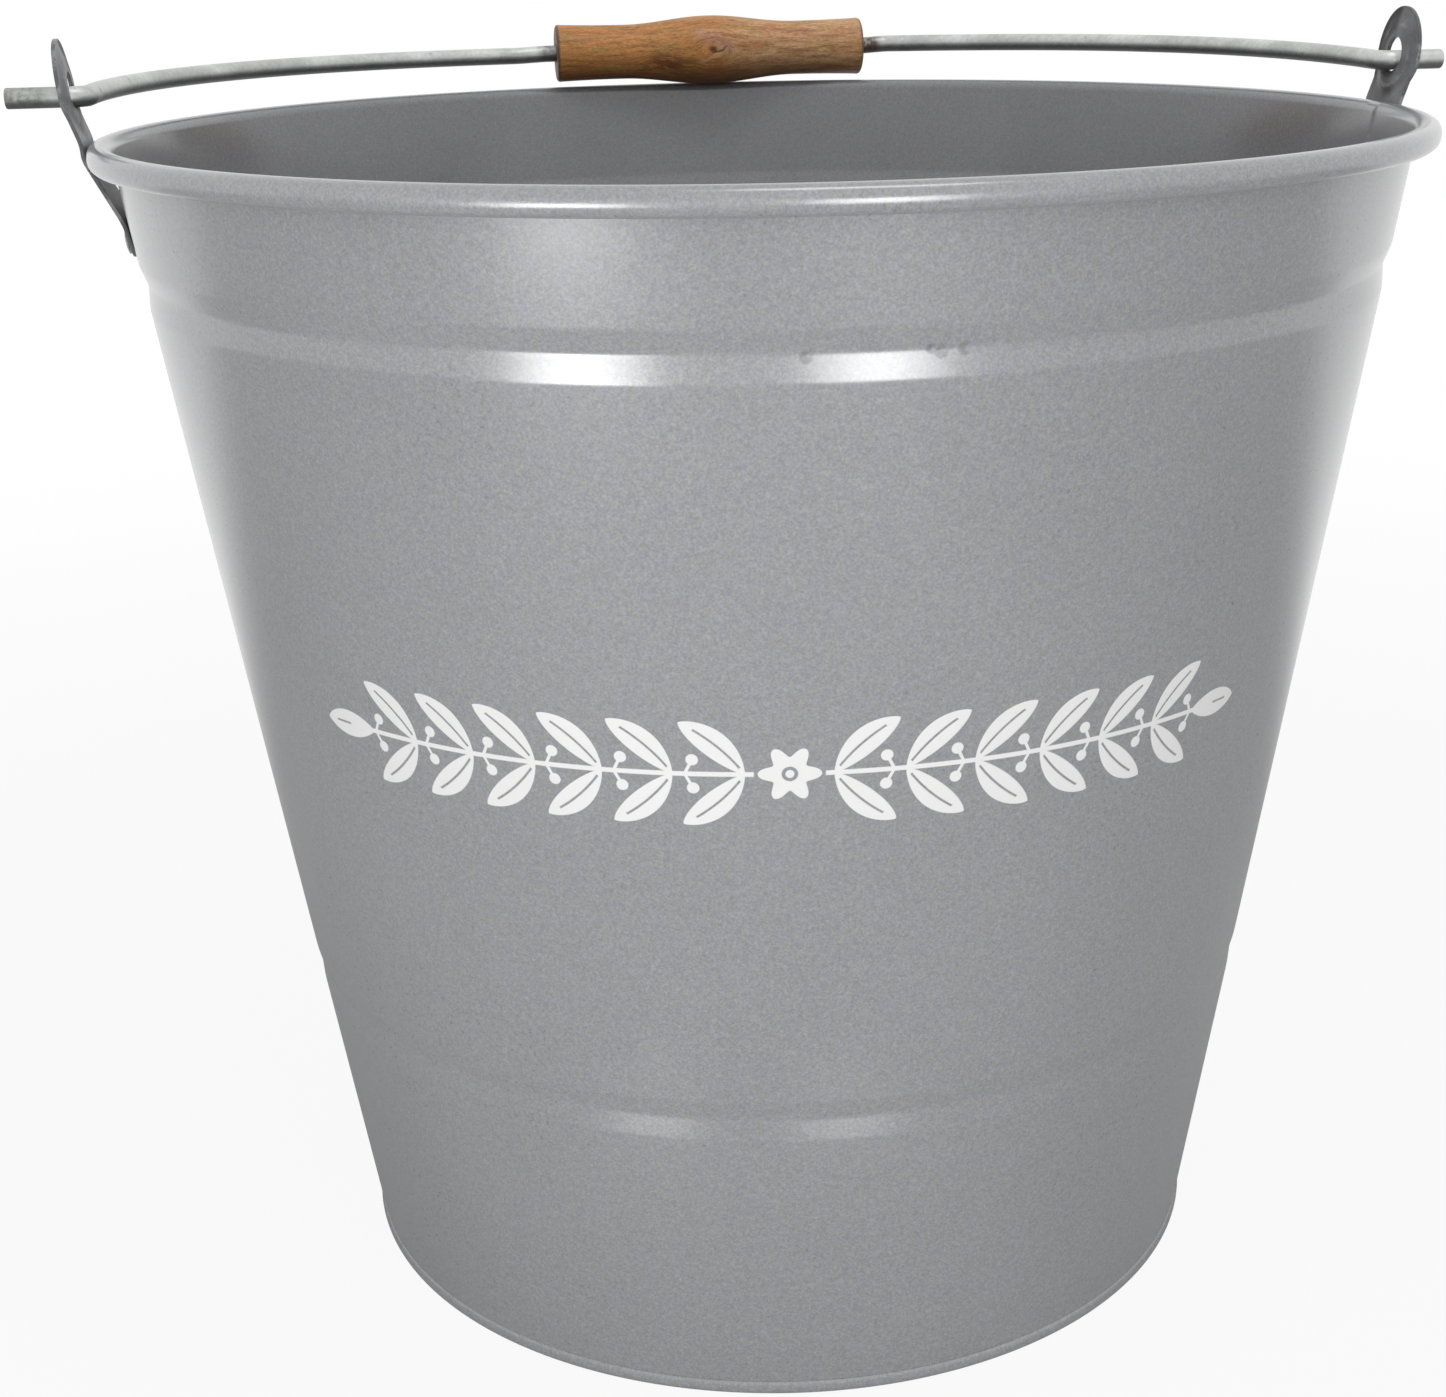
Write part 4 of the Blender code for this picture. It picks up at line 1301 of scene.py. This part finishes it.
def make_panel(name, width, depth, radiance):
    """A flat lamp of a given radiance, unseen by the camera."""
    data = bpy.data.lights.new(name, "AREA")
    data.shape = "RECTANGLE"
    data.size = width
    data.size_y = depth
    data.energy = radiance * width * depth * math.pi
    lamp = bpy.data.objects.new(name, data)
    lamp.visible_camera = False
    bpy.context.scene.collection.objects.link(lamp)
    return lamp


def aim_lamp(lamp, place, target):
    lamp.location = place
    lamp.rotation_euler = (target - place).to_track_quat("-Z", "Y").to_euler()


def make_shine(name, place, target, width, tall, radiance):
    """A panel that only gleams in the surfaces it faces."""
    half = SHINE_SPREAD / 2
    lamp = make_panel(name, width, tall, radiance * (math.tan(half) - half) / math.tan(half))
    lamp.data.spread = SHINE_SPREAD
    lamp.visible_diffuse = False
    aim_lamp(lamp, place, target)


def make_side_light(name, azimuth, distance, height, width, tall, shine, light):
    """A soft panel: one lamp for its gleam and one for its light."""
    place = around(azimuth, distance, height)
    target = around(azimuth / 2, BORDER_RADIUS, SHINE_HEIGHT)
    make_shine(f"{name}_shine", place, target, width, tall, shine)
    lamp = make_panel(f"{name}_light", width, tall, light)
    lamp.visible_glossy = False
    aim_lamp(lamp, place, target)


def make_low_shine(name, azimuth, facing, distance, width):
    """A small panel that gleams faintly in the lower groove."""
    target = around(facing, wall_radius(LOW_SHINE_TARGET), LOW_SHINE_TARGET)
    make_shine(name, around(azimuth, distance, LOW_SHINE_HEIGHT), target, width, LOW_SHINE_TALL, LOW_SHINE)


def make_top_light(place, width, depth, radiance):
    """A soft panel overhead."""
    lamp = make_panel("top_panel", width, depth, radiance)
    lamp.location = place
    lamp.rotation_euler = (0, 0, CAMERA_TURN)


def make_camera():
    """The photograph's camera."""
    data = bpy.data.cameras.new("camera")
    data.sensor_width = SENSOR_WIDTH
    data.lens = FOCAL_PIXELS / IMAGE_WIDTH * SENSOR_WIDTH
    data.shift_x = (IMAGE_WIDTH / 2 - PRINCIPAL_X) / IMAGE_WIDTH
    data.shift_y = (PRINCIPAL_Y - IMAGE_HEIGHT / 2) / IMAGE_WIDTH
    data.clip_start = CLIP_START
    camera = bpy.data.objects.new("camera", data)
    pitch, yaw = CAMERA_PITCH, CAMERA_YAW
    forward = Vector((math.sin(yaw) * math.cos(pitch), math.cos(yaw) * math.cos(pitch), -math.sin(pitch)))
    level = Vector((math.cos(yaw), -math.sin(yaw), 0))
    over = level.cross(forward)
    right = math.cos(CAMERA_ROLL) * level + math.sin(CAMERA_ROLL) * over
    up = math.cos(CAMERA_ROLL) * over - math.sin(CAMERA_ROLL) * level
    basis = Matrix((right, up, -forward)).transposed().to_4x4()
    turn = Matrix.Rotation(CAMERA_TURN, 4, "Z")
    camera.matrix_world = turn @ Matrix.Translation((0, -CAMERA_DISTANCE, CAMERA_HEIGHT)) @ basis
    bpy.context.scene.collection.objects.link(camera)
    bpy.context.scene.camera = camera


def dress(obj, body, node, material):
    """Give a piece its material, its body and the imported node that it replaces."""
    obj.data.materials.clear()
    obj.data.materials.append(material)
    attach(obj, body)
    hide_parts(node)


bpy.context.scene.view_settings.view_transform = "Standard"
make_camera()
make_world()
for panel in SIDE_PANELS:
    make_side_light(*panel)
for panel in LOW_PANELS:
    make_low_shine(*panel)
make_top_light(*TOP_PANEL)
make_floor()

paint = painted("body_paint", printed=True)
plain_paint = painted("base_paint")
rivet_paint = painted("rivet_paint")
ear_paint = ear_finish("ear_paint")
dress(make_body(), "bucket", "body_shell", paint)
dress(make_base(), "bucket", "base_disc", plain_paint)
for side, side_name in ((-1, "left"), (1, "right")):
    dress(make_ear(side_name + "_ear_plate", side), "bucket", side_name + "_ear", ear_paint)
    for row, row_name in ((-1, "front"), (1, "back")):
        node = f"{side_name}_ear_rivet_{row_name}"
        dress(make_rivet(node + "_head", side, row), "bucket", node, rivet_paint)
dress(make_bail(), "bail", "bail_wire", galvanised("bail_zinc", rust=True))
dress(make_grip(), "grip", "wood_grip", turned_wood("grip_wood"))
rim_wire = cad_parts["rim_wire"]
rim_wire.data.materials.clear()
rim_wire.data.materials.append(galvanised("rim_wire_steel"))
